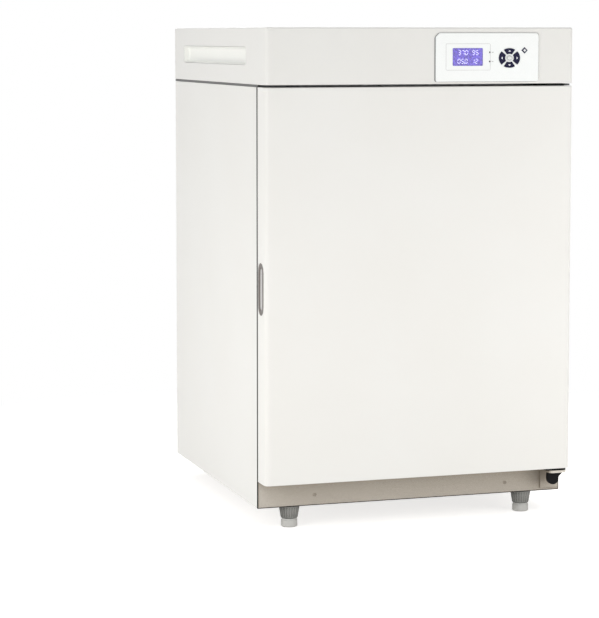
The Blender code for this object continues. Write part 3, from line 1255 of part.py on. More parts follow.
def make_door_skin():
    """Outer door sheet: a pan open at the back, with holes for the hinges and the grip."""
    low, high = (-HALF, FACE_Y, DOOR_BOTTOM), (HALF, DOOR_BACK, CASE_TOP)
    shell = box(low, high)
    round_upright_corners(shell, low, high, FRONT_ROUND)
    front_zone = FACE_Y + FRONT_ROUND + SHEET
    round_edges(shell, DOOR_TOP_ROUND, 2, lambda p: near(p.z, CASE_TOP) and p.y < front_zone)
    piece = build_mesh("door_skin", shell, "paint", 30)
    wall = SHEET
    inner_low, inner_high = [value + wall for value in low], [value - wall for value in high]
    hollow = box(inner_low, (inner_high[0], high[1] + wall, inner_high[2]))
    round_upright_corners(hollow, inner_low, inner_high, FRONT_ROUND - wall)
    cut(piece, hollow, "door_hollow")
    pin_hole = cylinder(DOOR_AXIS, DOOR_PIN + CLEAR, "Z", CASE_TOP - 2 * wall, CASE_TOP + wall, 12)
    cut(piece, pin_hole, "upper_pin_hole")
    bush_hole = cylinder(DOOR_AXIS, SHOE_BOSS + CLEAR, "Z", DOOR_BOTTOM - wall, DOOR_BOTTOM + 2 * wall, 16)
    cut(piece, bush_hole, "shoe_hole")
    grip = slot((GRIP_Y, GRIP_Z), GRIP_HEIGHT + 2 * CLEAR, GRIP_WIDTH + 2 * CLEAR, 6, True)
    cut(piece, prism(grip, "X", -HALF - wall, -HALF + 2 * wall), "grip_hole")


def make_door_liner():
    """Inner door sheet with a shallow pressed pocket inside the seal."""
    edge = HALF - SHEET - CLEAR
    low, high = (-edge, DOOR_BOTTOM + SHEET + CLEAR), (edge, CASE_TOP - SHEET - CLEAR)
    wall = FRAME_SHEET
    outline = rounded(low, high, FRAME_SHEET, 2)
    piece = build_mesh("door_liner", prism(outline, "Y", DOOR_BACK - wall, DOOR_BACK), "paint", 40)
    pocket_low = (-OPEN_HALF + POCKET_IN, OPEN_LOW + POCKET_IN)
    pocket_high = (OPEN_HALF - POCKET_IN, OPEN_HIGH - POCKET_IN)
    outer = rounded((pocket_low[0] - wall, pocket_low[1] - wall),
                    (pocket_high[0] + wall, pocket_high[1] + wall), POCKET_ROUND + wall)
    bottom = DOOR_BACK - wall - POCKET_DEPTH
    join(piece, prism(outer, "Y", bottom, DOOR_BACK - wall / 2), "pocket_outer")
    inner = prism(rounded(pocket_low, pocket_high, POCKET_ROUND), "Y", bottom + wall, DOOR_BACK + wall)
    round_edges(inner, POCKET_EDGE, 1, lambda point: near(point.y, bottom + wall))
    cut(piece, inner, "pocket_inner")


def make_door_insulation():
    """Foam slab that fills the door between its sheets, cut round the grip and hinges."""
    low = (-HALF + SHEET + CLEAR, FACE_Y + SHEET + CLEAR, DOOR_BOTTOM + SHEET + CLEAR)
    high = (HALF - SHEET - CLEAR, DOOR_BACK - FRAME_SHEET - CLEAR, CASE_TOP - SHEET - CLEAR)
    slab = box(low, high)
    round_upright_corners(slab, low, high, FRONT_ROUND - SHEET - CLEAR)
    piece = build_mesh("door_insulation", slab, "foam")
    grow = FRAME_SHEET + CLEAR
    pocket = rounded((-OPEN_HALF + POCKET_IN - grow, OPEN_LOW + POCKET_IN - grow),
                     (OPEN_HALF - POCKET_IN + grow, OPEN_HIGH - POCKET_IN + grow), POCKET_ROUND + grow)
    bottom = DOOR_BACK - FRAME_SHEET - POCKET_DEPTH - CLEAR
    cut(piece, prism(pocket, "Y", bottom, DOOR_BACK), "slab_pocket")
    play = SHAFT_PLAY
    upper = cylinder(DOOR_AXIS, DOOR_PIN + play, "Z", CASE_TOP - DOOR_PIN_LENGTH - play, CASE_TOP, 12)
    cut(piece, upper, "slab_upper_pin")
    bush_top = DOOR_BOTTOM + DOOR_PIN_LENGTH + play
    lower = cylinder(DOOR_AXIS, SHOE_BOSS + CLEAR, "Z", DOOR_BOTTOM, bush_top, 16)
    cut(piece, lower, "slab_lower_pin")
    cup = slot((GRIP_Y, GRIP_Z), GRIP_HEIGHT + 2 * CLEAR, GRIP_WIDTH + 2 * CLEAR, 6, True)
    cut(piece, prism(cup, "X", -HALF, -HALF + GRIP_DEPTH + CLEAR), "slab_grip")


def make_door_gasket():
    """Magnetic seal round the back of the door, pressed against the front frame."""
    inner_low = (-OPEN_HALF - GASKET_LAP, OPEN_LOW - GASKET_LAP)
    inner_high = (OPEN_HALF + GASKET_LAP, OPEN_HIGH + GASKET_LAP)
    width = GASKET_WIDTH
    outer = rounded((inner_low[0] - width, inner_low[1] - width),
                    (inner_high[0] + width, inner_high[1] + width), GASKET_ROUND + width)
    inner = rounded(inner_low, inner_high, GASKET_ROUND)
    band = ring_prism(outer, inner, "Y", DOOR_BACK + CLEAR, CASE_FRONT - CLEAR)
    build_mesh("door_gasket", band, "seal", 40)


def make_grip():
    """Flush finger grip in the left edge of the door."""
    centre = (GRIP_Y, GRIP_Z)
    rim = slot(centre, GRIP_HEIGHT, GRIP_WIDTH, 6, True)
    plate = prism(rim, "X", -HALF, -HALF + FRAME_SHEET)
    piece = build_mesh("grip_cup", plate, "grip", 40)
    height, width = GRIP_HEIGHT - GRIP_RIM, GRIP_WIDTH - GRIP_RIM
    body = prism(slot(centre, height, width, 6, True), "X", -HALF + FRAME_SHEET / 2, -HALF + GRIP_DEPTH)
    join(piece, body, "grip_body")
    wall = FRAME_SHEET
    hollow = prism(slot(centre, height - 2 * wall, width - 2 * wall, 6, True), "X",
                   -HALF - wall, -HALF + GRIP_DEPTH - wall)
    cut(piece, hollow, "grip_hollow")


def make_lower_hinge():
    """Leaf and pin on the front frame, the door's shoe with its bush, and a moulded cover."""
    x, y = DOOR_AXIS
    right, front, back = HALF - LEAF_EDGE, y - LEAF_FRONT, CASE_FRONT - CLEAR
    low, middle = LEAF_TOP - LEAF_THICK, LEAF_TOP - LEAF_THICK / 2
    leaf = rounded((x - LEAF_IN, front), (right, back), LEAF_ROUND, 3)
    piece = build_mesh("hinge_bracket_lower", prism(leaf, "Z", low, LEAF_TOP), "paint", 40)
    plate = box((x - LEAF_IN, back - LEAF_BACK, CASE_BOTTOM + LEAF_BACK_UP), (right, back, middle))
    join(piece, plate, "bracket_lower_back")
    pin_top = DOOR_BOTTOM + DOOR_PIN_PART
    join(piece, cylinder(DOOR_AXIS, DOOR_PIN, "Z", middle, pin_top, 12), "bracket_lower_pin")

    shoe = rounded((x - SHOE_IN, y - SHOE_HALF), (x + SHOE_OUT, y + SHOE_HALF), SHOE_ROUND, 3)
    piece = build_mesh("door_hinge_shoe", prism(shoe, "Z", SHOE_LOW, DOOR_BOTTOM - CLEAR), "black", 40)
    bush_low, bush_top = (SHOE_LOW + DOOR_BOTTOM) / 2, DOOR_BOTTOM + DOOR_PIN_LENGTH
    join(piece, cylinder(DOOR_AXIS, SHOE_BOSS, "Z", bush_low, bush_top, 16), "shoe_boss")
    bore = cylinder(DOOR_AXIS, DOOR_PIN + CLEAR, "Z", SHOE_LOW - SHEET, pin_top + CLEAR, 12)
    cut(piece, bore, "shoe_bore")

    top, half, middle = low - CLEAR, COVER_HALF, x - COVER_IN
    foot, ear = top - COVER_DROP + half, middle + half + COVER_EAR
    outline = [(ear, top), (middle - half, top), (middle - half, foot)]
    outline += arc((middle, foot), (half, half), 180, 360, 8)[1:]
    outline += [(middle + half, top - COVER_EAR * 0.7), (ear, top - COVER_EAR * 0.3)]
    cover = prism(outline, "Y", y - COVER_FRONT, back - LEAF_BACK - CLEAR)
    build_mesh("hinge_cover_lower", cover, "black", 40)


def make_upper_hinge():
    """Leaf in the shadow gap over the door, seated on the cabinet's top, with its pin."""
    x, y = DOOR_AXIS
    right, front = HALF - LEAF_EDGE, y - LEAF_FRONT
    low, high = CASE_TOP + UPPER_GAP, HOOD_LOW - UPPER_GAP
    leaf = rounded((x - UPPER_IN, front), (right, CASE_FRONT + UPPER_BACK), LEAF_ROUND, 3)
    piece = build_mesh("hinge_bracket_upper", prism(leaf, "Z", low, high), "zinc", 40)
    seat = box((x - UPPER_IN + UPPER_SEAT_EDGE, CASE_FRONT + UPPER_SEAT_FRONT, CASE_TOP + CLEAR),
               (right - UPPER_SEAT_EDGE, CASE_FRONT + UPPER_SEAT_BACK, (low + high) / 2))
    join(piece, seat, "bracket_upper_seat")
    pin = cylinder(DOOR_AXIS, DOOR_PIN, "Z", CASE_TOP - DOOR_PIN_LENGTH, (low + high) / 2, 12)
    join(piece, pin, "bracket_upper_pin")


def make_glass_door():
    """Inner glass door with its hinge rail, hinge blocks and pull knob."""
    low, high = CHAMBER_FLOOR - GLASS_LAP, CHAMBER_CEILING + GLASS_LAP
    outline = rounded((-GLASS_HALF, low), (GLASS_HALF, high), GLASS_ROUND)
    origin = (*GLASS_AXIS, (low + high) / 2)
    pane = build_mesh("inner_glass_door", prism(outline, "Y", GLASS_FRONT, GLASS_BACK), None, 40, origin)
    pane.data.materials.append(make_material("inner_glass_door", (0.86, 0.93, 0.91), 0.03, 0.0, 0.25))
    x, y = GLASS_AXIS
    rail_low, rail_high = CHAMBER_FLOOR + RAIL_END, CHAMBER_CEILING - RAIL_END
    leg_back = GLASS_FRONT - CLEAR
    leg_front = leg_back - RAIL_LEG_THICK
    leg = [(x - RAIL_LEG, leg_back), (x - RAIL_LEG, leg_front), (x, leg_front), (x, leg_back)]
    rail = build_mesh("glass_edge_rail", prism(leg, "Z", rail_low, rail_high), "aluminium", 40, (x, y, 0.0))
    join(rail, cylinder(GLASS_AXIS, RAIL_KNUCKLE, "Z", rail_low, rail_high, 12), "rail_knuckle")
    side = 2 * RAIL_KNUCKLE
    relief = box((x - side, leg_back, rail_low - SHEET), (x + side, LINER_FRONT, rail_high + SHEET))
    cut(rail, relief, "rail_relief")
    ends = ((rail_low - SHEET, rail_low + GLASS_PIN_LENGTH + SHEET),
            (rail_high - GLASS_PIN_LENGTH - SHEET, rail_high + SHEET))
    for k, (start, end) in enumerate(ends):
        cut(rail, cylinder(GLASS_AXIS, GLASS_PIN + CLEAR, "Z", start, end, 12), f"rail_bore_{k}")
    block = rounded((x - BLOCK_BESIDE, y - BLOCK_FRONT), (OPEN_HALF - CLEAR, y + BLOCK_BACK),
                    BLOCK_BACK * 0.75, 2)
    for name, near_z, away in (("upper", rail_high, 1), ("lower", rail_low, -1)):
        start, end = sorted((near_z + away * CLEAR, near_z + away * BLOCK_HEIGHT))
        piece = build_mesh(f"inner_hinge_{name}", prism(block, "Z", start, end), "zinc", 40)
        pin_ends = sorted((near_z + away * BLOCK_HEIGHT / 4, near_z - away * GLASS_PIN_LENGTH))
        join(piece, cylinder(GLASS_AXIS, GLASS_PIN, "Z", *pin_ends, 12), f"inner_pin_{name}")
    place = (-GLASS_HALF + KNOB_IN, (low + high) / 2)
    seat = GLASS_FRONT - CLEAR
    radius, depth = KNOB_RADIUS, KNOB_DEPTH
    profile = [(0.0, seat), (radius, seat), (radius, seat - depth * 0.15),
               (radius * 0.5, seat - depth * 0.25), (radius * 0.5, seat - depth * 0.55),
               (radius * 0.95, seat - depth * 0.77), (radius * 0.85, seat - depth), (0.0, seat - depth)]
    build_mesh("glass_door_knob", turned(profile, place, "Y", 16), "black", 40)


def make_feet():
    """Levelling feet: a ribbed tapered collar on a stud, and a soft pad below it."""
    top = CASE_BOTTOM - CLEAR
    ribs = COLLAR_RIBS
    stud_top = CASE_BOTTOM + STUD_UP
    for name, centre in foot_places().items():
        profile = [(0.0, COLLAR_LOW), (COLLAR_FOOT, COLLAR_LOW), (COLLAR_TOP, top - COLLAR_BAND),
                   (COLLAR_TOP, top), (STUD_RADIUS, top), (STUD_RADIUS, stud_top), (0.0, stud_top)]
        origin = (*centre, top)
        piece = build_mesh(f"foot_collar_{name}", turned(profile, centre, "Z", 2 * ribs), "grey", 30, origin)
        for vertex in piece.data.vertices:
            flat = Vector((vertex.co.x, vertex.co.y))
            spoke = round(math.degrees(math.atan2(flat.y, flat.x)) / (180 / ribs))
            if flat.length > STUD_RADIUS * 1.5 and spoke % 2:
                vertex.co.x *= RIB_SHARE
                vertex.co.y *= RIB_SHARE
        low = COLLAR_LOW - CLEAR
        pad = [(0.0, 0.0), (PAD_RADIUS - PAD_ROUND, 0.0)]
        pad += arc((PAD_RADIUS - PAD_ROUND, PAD_ROUND), (PAD_ROUND, PAD_ROUND), -45, 0, 1)
        pad += [(PAD_RADIUS, low - PAD_EDGE), (PAD_RADIUS - PAD_EDGE, low), (0.0, low)]
        build_mesh(f"foot_pad_{name}", turned(pad, centre, "Z", 18), "pad", 40, origin)


def clear_scene():
    for item in list(bpy.data.objects):
        bpy.data.objects.remove(item, do_unlink=True)


def main():
    clear_scene()
    make_side_panels()
    make_rear_panel()
    make_base_pan()
    make_top_deck()
    make_front_frame()
    make_chamber()
    make_insulation()
    make_chamber_gasket()
    make_rails()
    make_shelves()
    make_water_pan()
    make_fan_shroud()
    make_impeller()
    make_motor()
    make_sensor()
    make_port()
    make_hood()
    make_power_module()
    make_power_switch()
    make_gas_valve()
    make_power_supply()
    make_panel()
    make_screen()
    make_keys()
    make_control_board()
    make_door_skin()
    make_door_liner()
    make_door_insulation()
    make_door_gasket()
    make_grip()
    make_lower_hinge()
    make_upper_hinge()
    make_glass_door()
    make_feet()


main()
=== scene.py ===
import bmesh
import bpy
import math
import numpy as np
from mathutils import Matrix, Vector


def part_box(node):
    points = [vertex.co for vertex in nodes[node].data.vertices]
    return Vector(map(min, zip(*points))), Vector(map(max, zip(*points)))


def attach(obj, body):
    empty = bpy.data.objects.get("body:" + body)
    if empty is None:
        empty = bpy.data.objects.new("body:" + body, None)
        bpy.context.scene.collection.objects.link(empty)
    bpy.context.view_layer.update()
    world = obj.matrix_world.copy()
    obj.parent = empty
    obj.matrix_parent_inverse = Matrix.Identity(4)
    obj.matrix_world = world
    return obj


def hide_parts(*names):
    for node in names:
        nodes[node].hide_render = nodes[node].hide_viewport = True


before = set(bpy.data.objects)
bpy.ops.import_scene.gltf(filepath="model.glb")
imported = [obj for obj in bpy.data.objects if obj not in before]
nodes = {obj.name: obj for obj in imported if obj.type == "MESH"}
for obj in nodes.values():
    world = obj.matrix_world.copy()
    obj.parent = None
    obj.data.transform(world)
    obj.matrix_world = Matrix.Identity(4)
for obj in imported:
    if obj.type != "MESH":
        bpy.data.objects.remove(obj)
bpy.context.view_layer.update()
scene = bpy.context.scene
print("frame loaded:", len(nodes), "solids")


# Shared mesh work. A piece is one or more grids of points, each worked out as a whole array.

def gridFaces(rows, columns, wrapRows):
    # neighbours on a grid join into four-sided faces; the columns join round, and the rows too if asked
    index = np.arange(rows * columns).reshape(rows, columns)
    if wrapRows:
        index = np.vstack((index, index[:1]))
    index = np.hstack((index, index[:, :1]))
    return np.stack((index[:-1, :-1], index[:-1, 1:], index[1:, 1:], index[1:, :-1]), -1).reshape(-1, 4)


def capped(points):
    return {"points": points, "capFirst": True, "capLast": True}


def ringed(points):
    return {"points": points, "wrapRows": True}


def buildPiece(name, grids, body, finishName, sharp):
    # grids: dictionaries with "points" (rows, columns, 3) and, where wanted, wrapRows, capFirst and capLast.
    # Doubles are merged, so rows that shrink to a point close as poles; every closed part is turned outwards
    points, polygons, start = [], [], 0
    for grid in grids:
        array = np.asarray(grid["points"], float)
        rows, columns = array.shape[:2]
        polygons.append(gridFaces(rows, columns, grid.get("wrapRows", False)) + start)
        if grid.get("capFirst"):
            polygons.append(np.arange(columns)[None, ::-1] + start)
        if grid.get("capLast"):
            polygons.append(np.arange(columns)[None, :] + start + (rows - 1) * columns)
        points.append(array.reshape(-1, 3))
        start += rows * columns
    cloud = np.concatenate(points)
    loops = np.concatenate([part.ravel() for part in polygons])
    sizes = np.concatenate([np.full(len(part), part.shape[1]) for part in polygons])
    mesh = bpy.data.meshes.new(name)
    mesh.vertices.add(len(cloud))
    mesh.loops.add(len(loops))
    mesh.polygons.add(len(sizes))
    mesh.vertices.foreach_set("co", cloud.astype(np.float32).ravel())
    mesh.loops.foreach_set("vertex_index", loops.astype(np.int32))
    mesh.polygons.foreach_set("loop_start", (np.cumsum(sizes) - sizes).astype(np.int32))
    mesh.update(calc_edges=True)
    work = bmesh.new()
    work.from_mesh(mesh)
    bmesh.ops.remove_doubles(work, verts=work.verts, dist=2e-6)
    bmesh.ops.recalc_face_normals(work, faces=work.faces)
    work.to_mesh(mesh)
    work.free()
    mesh.polygons.foreach_set("use_smooth", np.ones(len(mesh.polygons), bool))
    mesh.set_sharp_from_angle(angle=math.radians(sharp))
    mesh.update()
    mesh.materials.append(finishes[finishName])
    piece = bpy.data.objects.new(name, mesh)
    scene.collection.objects.link(piece)
    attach(piece, body)
    return piece


def onAxis(axis, across, up, along):
    # the three coordinate arrays for an axis: X looks along x, Y along y and Z along z
    order = {"X": (along, across, up), "Y": (across, along, up), "Z": (across, up, along)}[axis]
    return np.stack(np.broadcast_arrays(*order), -1)


def turnedGrid(profile, centre, columns, ripple=None):
    # a profile of (radius, height) pairs turned about an upright axis: x = r cos a, y = r sin a.
    # ripple(angle, height, row) may return a factor for the radius over the whole grid
    profile = np.asarray(profile, float)
    angle = np.linspace(0.0, 2 * math.pi, columns, endpoint=False)[None, :]
    radius, height = profile[:, :1], profile[:, 1:2]
    if ripple is not None:
        radius = radius * ripple(angle, height, np.arange(len(profile))[:, None])
    return onAxis("Z", centre[0] + radius * np.cos(angle), centre[1] + radius * np.sin(angle), height)


def loopGrid(left, right, bottom, top, corner, profile, axis, perCorner):
    # a profile of (outset, depth) pairs carried round a rounded rectangle: every corner point is
    # centre + (corner + outset)(cos a, sin a), and the centres move in once the outset passes the corner
    profile = np.asarray(profile, float)
    outset, depth = profile[:, :1], profile[:, 1:2]
    quarter = np.linspace(0.0, math.pi / 2, perCorner)
    angle = np.concatenate([quarter + k * math.pi / 2 for k in range(4)])
    inward = corner + np.maximum(0.0, -outset - corner)
    radius = np.maximum(0.0, corner + outset)
    centreX = [right - inward, left + inward, left + inward, right - inward]
    centreZ = [top - inward, top - inward, bottom + inward, bottom + inward]
    across = np.repeat(np.hstack(centreX), perCorner, axis=1) + radius * np.cos(angle)
    up = np.repeat(np.hstack(centreZ), perCorner, axis=1) + radius * np.sin(angle)
    return onAxis(axis, across, up, depth)


def mitreOf(first, second):
    # the shift that moves both of two neighbouring sides out by one: 2 (n1 + n2) / |n1 + n2|^2
    both = first + second
    return 2 * both / np.sum(both ** 2, axis=1)[:, None]


def normalOf(along):
    along = along / np.linalg.norm(along, axis=1)[:, None]
    return np.stack((along[:, 1], -along[:, 0]), 1)


def runGrid(path, profile):
    # a profile of (outset, height) pairs carried along an open path in plan, mitred at its corners
    path, profile = np.asarray(path, float), np.asarray(profile, float)
    normal = normalOf(np.diff(path, axis=0))
    mitre = mitreOf(np.vstack((normal[:1], normal)), np.vstack((normal, normal[-1:])))
    place = path[:, None, :] + profile[None, :, :1] * mitre[:, None, :]
    return onAxis("Z", place[..., 0], place[..., 1], profile[None, :, 1])


def outlineGrid(outline, profile, axis):
    # a profile of (outset, depth) pairs carried round a closed anticlockwise outline, mitred at each point
    outline, profile = np.asarray(outline, float), np.asarray(profile, float)
    normal = normalOf(np.roll(outline, -1, axis=0) - outline)
    ring = outline[None, :, :] + profile[:, :1, None] * mitreOf(normal, np.roll(normal, 1, axis=0))[None, :, :]
    return onAxis(axis, ring[..., 0], ring[..., 1], profile[:, 1:2])


def boxOutline(left, right, bottom, top):
    return [(left, bottom), (right, bottom), (right, top), (left, top)]


def softCorners(corners, cut):
    # each corner c of an outline becomes a curve (1 - s)^2 a + 2 s (1 - s) c + s^2 b, with a and b at the
    # distance cut before and after it
    corners, cut = np.asarray(corners, float), np.asarray(cut, float).reshape(-1, 1)
    before, after = np.roll(corners, 1, axis=0) - corners, np.roll(corners, -1, axis=0) - corners
    start = corners + cut * before / np.linalg.norm(before, axis=1)[:, None]
    end = corners + cut * after / np.linalg.norm(after, axis=1)[:, None]
    s = np.linspace(0.0, 1.0, 5)[None, :, None]
    curve = (1 - s) ** 2 * start[:, None] + 2 * s * (1 - s) * corners[:, None] + s ** 2 * end[:, None]
    return curve.reshape(-1, 2)


def plateProfile(low, high, edge):
    # the side of a plate with rounded edges: it moves in by edge (1 - sin a) as its depth grows by
    # edge (1 - cos a)
    turn = np.linspace(0.0, math.pi / 2, 5)
    inset = np.concatenate((edge * (1 - np.sin(turn)), edge * (1 - np.sin(turn[::-1]))))
    depth = np.concatenate((low + edge * (1 - np.cos(turn)), high - edge * (1 - np.cos(turn[::-1]))))
    return np.stack((-inset, depth), 1)


def bendProfile(outset, depth, radius, count):
    # a quarter turn from a wall at the outset into a floor at the depth
    turn = np.linspace(0.0, math.pi / 2, count)
    return np.stack((outset - radius * (1 - np.cos(turn)), depth - radius * (1 - np.sin(turn))), 1)


def roundProfile(start, end, bulge, count):
    # points from start to end on an arc that stands out by bulge times the chord, to the left of travel
    share = np.linspace(0.0, 1.0, count)
    start, end = np.asarray(start, float), np.asarray(end, float)
    along = end - start
    side = np.array((-along[1], along[0]))
    return start + share[:, None] * along + (4 * bulge * share * (1 - share))[:, None] * side


def middleOf(name):
    low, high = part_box(name)
    return (low + high) / 2


# Shared shader work. Each effect is a node group with named sockets, placed in a material with its own values.

def wire(tree, node, wires):
    # each input, by name or number, gets a plain value or another node's output
    for key, value in wires.items():
        if isinstance(value, bpy.types.NodeSocket):
            tree.links.new(value, node.inputs[key])
        else:
            node.inputs[key].default_value = value


def newNode(tree, kind, wires=None, **settings):
    node = tree.nodes.new("ShaderNode" + kind)
    for key, value in settings.items():
        setattr(node, key, value)
    wire(tree, node, wires or {})
    return node


def maths(tree, operation, *values):
    return newNode(tree, "Math", dict(enumerate(values)), operation=operation).outputs[0]


def mixed(tree, level, first, second):
    return newNode(tree, "Mix", {0: level, 6: first, 7: second}, data_type="RGBA").outputs[2]


def ranged(tree, value, ends, start=0.0, end=1.0, kind="LINEAR"):
    # a value that goes from one of the ends to the other comes out going from start to end
    wires = {"Value": value, "From Min": ends[0], "From Max": ends[1], "To Min": start, "To Max": end}
    return newNode(tree, "MapRange", wires, interpolation_type=kind).outputs[0]


def placeOf(tree, output="Object"):
    return newNode(tree, "TexCoord").outputs[output]


def partsOf(tree, vector):
    return newNode(tree, "SeparateXYZ", {0: vector}).outputs


def fromPoint(tree, point):
    # x and z measured from a point
    x, _, z = partsOf(tree, placeOf(tree))
    return maths(tree, "SUBTRACT", x, point.x), maths(tree, "SUBTRACT", z, point.z)


def noiseOf(tree, scale, kind, place=None):
    detail, roughness = noises[kind]
    wires = {"Vector": place or placeOf(tree), "Scale": scale, "Detail": detail, "Roughness": roughness}
    return newNode(tree, "TexNoise", wires).outputs["Fac"]


def colour(value, factor=1.0):
    return (*(part * factor for part in value), 1.0)


def openGroup(name, **inputs):
    # an input's kind follows from its value: four numbers are a colour, three a vector and one a float
    tree = bpy.data.node_groups.new(name, "ShaderNodeTree")
    for label, value in inputs.items():
        kind = {4: "Color", 3: "Vector"}[len(value)] if isinstance(value, tuple) else "Float"
        socket = tree.interface.new_socket(name=label, in_out="INPUT", socket_type="NodeSocket" + kind)
        socket.default_value = value
    return tree, tree.nodes.new("NodeGroupInput").outputs


def closeGroup(tree, **outputs):
    kinds = {"RGBA": "Color", "VECTOR": "Vector", "VALUE": "Float"}
    for label, value in outputs.items():
        tree.interface.new_socket(name=label, in_out="OUTPUT", socket_type="NodeSocket" + kinds[value.type])
    wire(tree, tree.nodes.new("NodeGroupOutput"), outputs)
    return tree


white = (1.0, 1.0, 1.0, 1.0)
# detail and roughness of each effect's noise, and the two ends between which a value becomes a level
noises = {"grain": (3.0, 0.55), "drift": (2.0, 0.5), "wear": (4.0, 0.6), "dust": (5.0, 0.65)}
ranges = {"grain": (0.3, 0.7), "drift": (0.35, 0.65), "wear": (0.42, 0.62), "edge": (0.995, 0.85),
          "upward": (0.5, 1.0), "cover": (0.86, 0.47)}


def makeGrainGroup():
    # fine texture: object coordinates times Stretch go into noise, which comes out as a level and a height
    tree, source = openGroup("surfaceGrain", Scale=300.0, Stretch=(1.0, 1.0, 1.0), Low=0.3, High=0.5)
    place = newNode(tree, "VectorMath", {0: placeOf(tree), 1: source["Stretch"]}, operation="MULTIPLY")
    noise = noiseOf(tree, source["Scale"], "grain", place.outputs[0])
    level = ranged(tree, noise, ranges["grain"], source["Low"], source["High"])
    return closeGroup(tree, Level=level, Height=noise)


def makeDriftGroup():
    # slow change of tone: wide noise mixes Tint into Color by Amount
    tree, source = openGroup("tonalDrift", Color=white, Tint=white, Scale=3.0, Amount=0.5)
    level = ranged(tree, noiseOf(tree, source["Scale"], "drift"), ranges["drift"], 0.0, source["Amount"])
    return closeGroup(tree, Color=mixed(tree, level, source["Color"], source["Tint"]))


def makeEdgeGroup():
    # rounds the shading of an edge over Radius, and gives how near a point is to such an edge
    tree, source = openGroup("softEdge", Radius=0.0006)
    soft = newNode(tree, "Bevel", {"Radius": source["Radius"]}, samples=6).outputs[0]
    true = newNode(tree, "NewGeometry").outputs["Normal"]
    alike = newNode(tree, "VectorMath", {0: soft, 1: true}, operation="DOT_PRODUCT").outputs["Value"]
    return closeGroup(tree, Normal=soft, Edge=ranged(tree, alike, ranges["edge"]))


def makeWearGroup():
    # broken wear along edges: the edge level times noise mixes Wear into Color
    tree, source = openGroup("edgeWear", Color=white, Wear=white, Edge=0.0, Scale=60.0, Amount=0.3)
    broken = ranged(tree, noiseOf(tree, source["Scale"], "wear"), ranges["wear"])
    level = maths(tree, "MULTIPLY", maths(tree, "MULTIPLY", broken, source["Edge"]), source["Amount"])
    return closeGroup(tree, Color=mixed(tree, level, source["Color"], source["Wear"]))


def makeDustGroup():
    # dust on surfaces that face up: the upward share of the object's normal times noise mixes Dust into Color
    tree, source = openGroup("topDust", Color=white, Dust=(0.6, 0.58, 0.54, 1.0), Scale=40.0, Amount=0.1)
    upward = ranged(tree, partsOf(tree, placeOf(tree, "Normal"))["Z"], ranges["upward"])
    level = maths(tree, "MULTIPLY", noiseOf(tree, source["Scale"], "dust"), upward)
    level = maths(tree, "MULTIPLY", level, source["Amount"])
    return closeGroup(tree, Color=mixed(tree, level, source["Color"], source["Dust"]))


def makeCoverShadeGroup():
    # painted shade where a surface is covered: what the surface can't see within Distance mixes a darker shade colour
    # into Color
    tree, source = openGroup("coveredGrime", Color=white, Grime=(0.3, 0.3, 0.3, 1.0), Distance=0.05, Amount=1.0)
    around = newNode(tree, "AmbientOcclusion", {"Distance": source["Distance"]}, samples=8).outputs["AO"]
    level = ranged(tree, around, ranges["cover"], 0.0, source["Amount"], "SMOOTHSTEP")
    return closeGroup(tree, Color=mixed(tree, level, source["Color"], source["Grime"]))


effects = {"cover": makeCoverShadeGroup(), "grain": makeGrainGroup(), "drift": makeDriftGroup(),
           "edge": makeEdgeGroup(), "wear": makeWearGroup(), "dust": makeDustGroup()}
print("shader effects made:", len(effects))


def placeEffect(tree, name, **wires):
    return newNode(tree, "Group", wires, node_tree=effects[name]).outputs


finishes = {}


def newMaterial(name):
    finishes[name] = bpy.data.materials.new(name)
    finishes[name].use_nodes = True
    tree = finishes[name].node_tree
    return tree, tree.nodes["Principled BSDF"]


def startFinish(name, look):
    # a material with tone, edges, wear, dust, painted shade in covered places, grain and relief, each only where the
    # look asks for it
    tree, shader = newMaterial(name)
    wire(tree, shader, look.get("sockets", {}))
    tone = placeEffect(tree, "drift", Color=colour(look["color"]), Tint=colour(look["tint"]),
                       Scale=look.get("driftScale", 4.0), Amount=look.get("drift", 0.6))["Color"]
    edge = placeEffect(tree, "edge", Radius=look.get("edge", 0.0006))
    grain = placeEffect(tree, "grain", Scale=look.get("grainScale", 400.0), Stretch=look.get("stretch", (1, 1, 1)),
                        Low=look["roughness"][0], High=look["roughness"][1])
    if "wear" in look:
        tone = placeEffect(tree, "wear", Color=tone, Edge=edge["Edge"], Wear=colour(look["wear"]),
                           Amount=0.4)["Color"]
    if "dust" in look:
        tone = placeEffect(tree, "dust", Color=tone, Amount=look["dust"])["Color"]
    # painted shade: the colour darkens where the surface is covered, standing in for shade
    if "coverShade" in look:
        tone = placeEffect(tree, "cover", Color=tone, Grime=colour(look["coverShade"]), Distance=look["reach"],
                           Amount=0.95)["Color"]
    bump = newNode(tree, "Bump", {"Strength": look.get("relief", 0.1), "Distance": look.get("depth", 0.0002),
                                  "Height": grain["Height"], "Normal": edge["Normal"]})
    wire(tree, shader, {"Base Color": tone, "Roughness": grain["Level"], "Normal": bump.outputs[0]})
    return tree, shader, tone


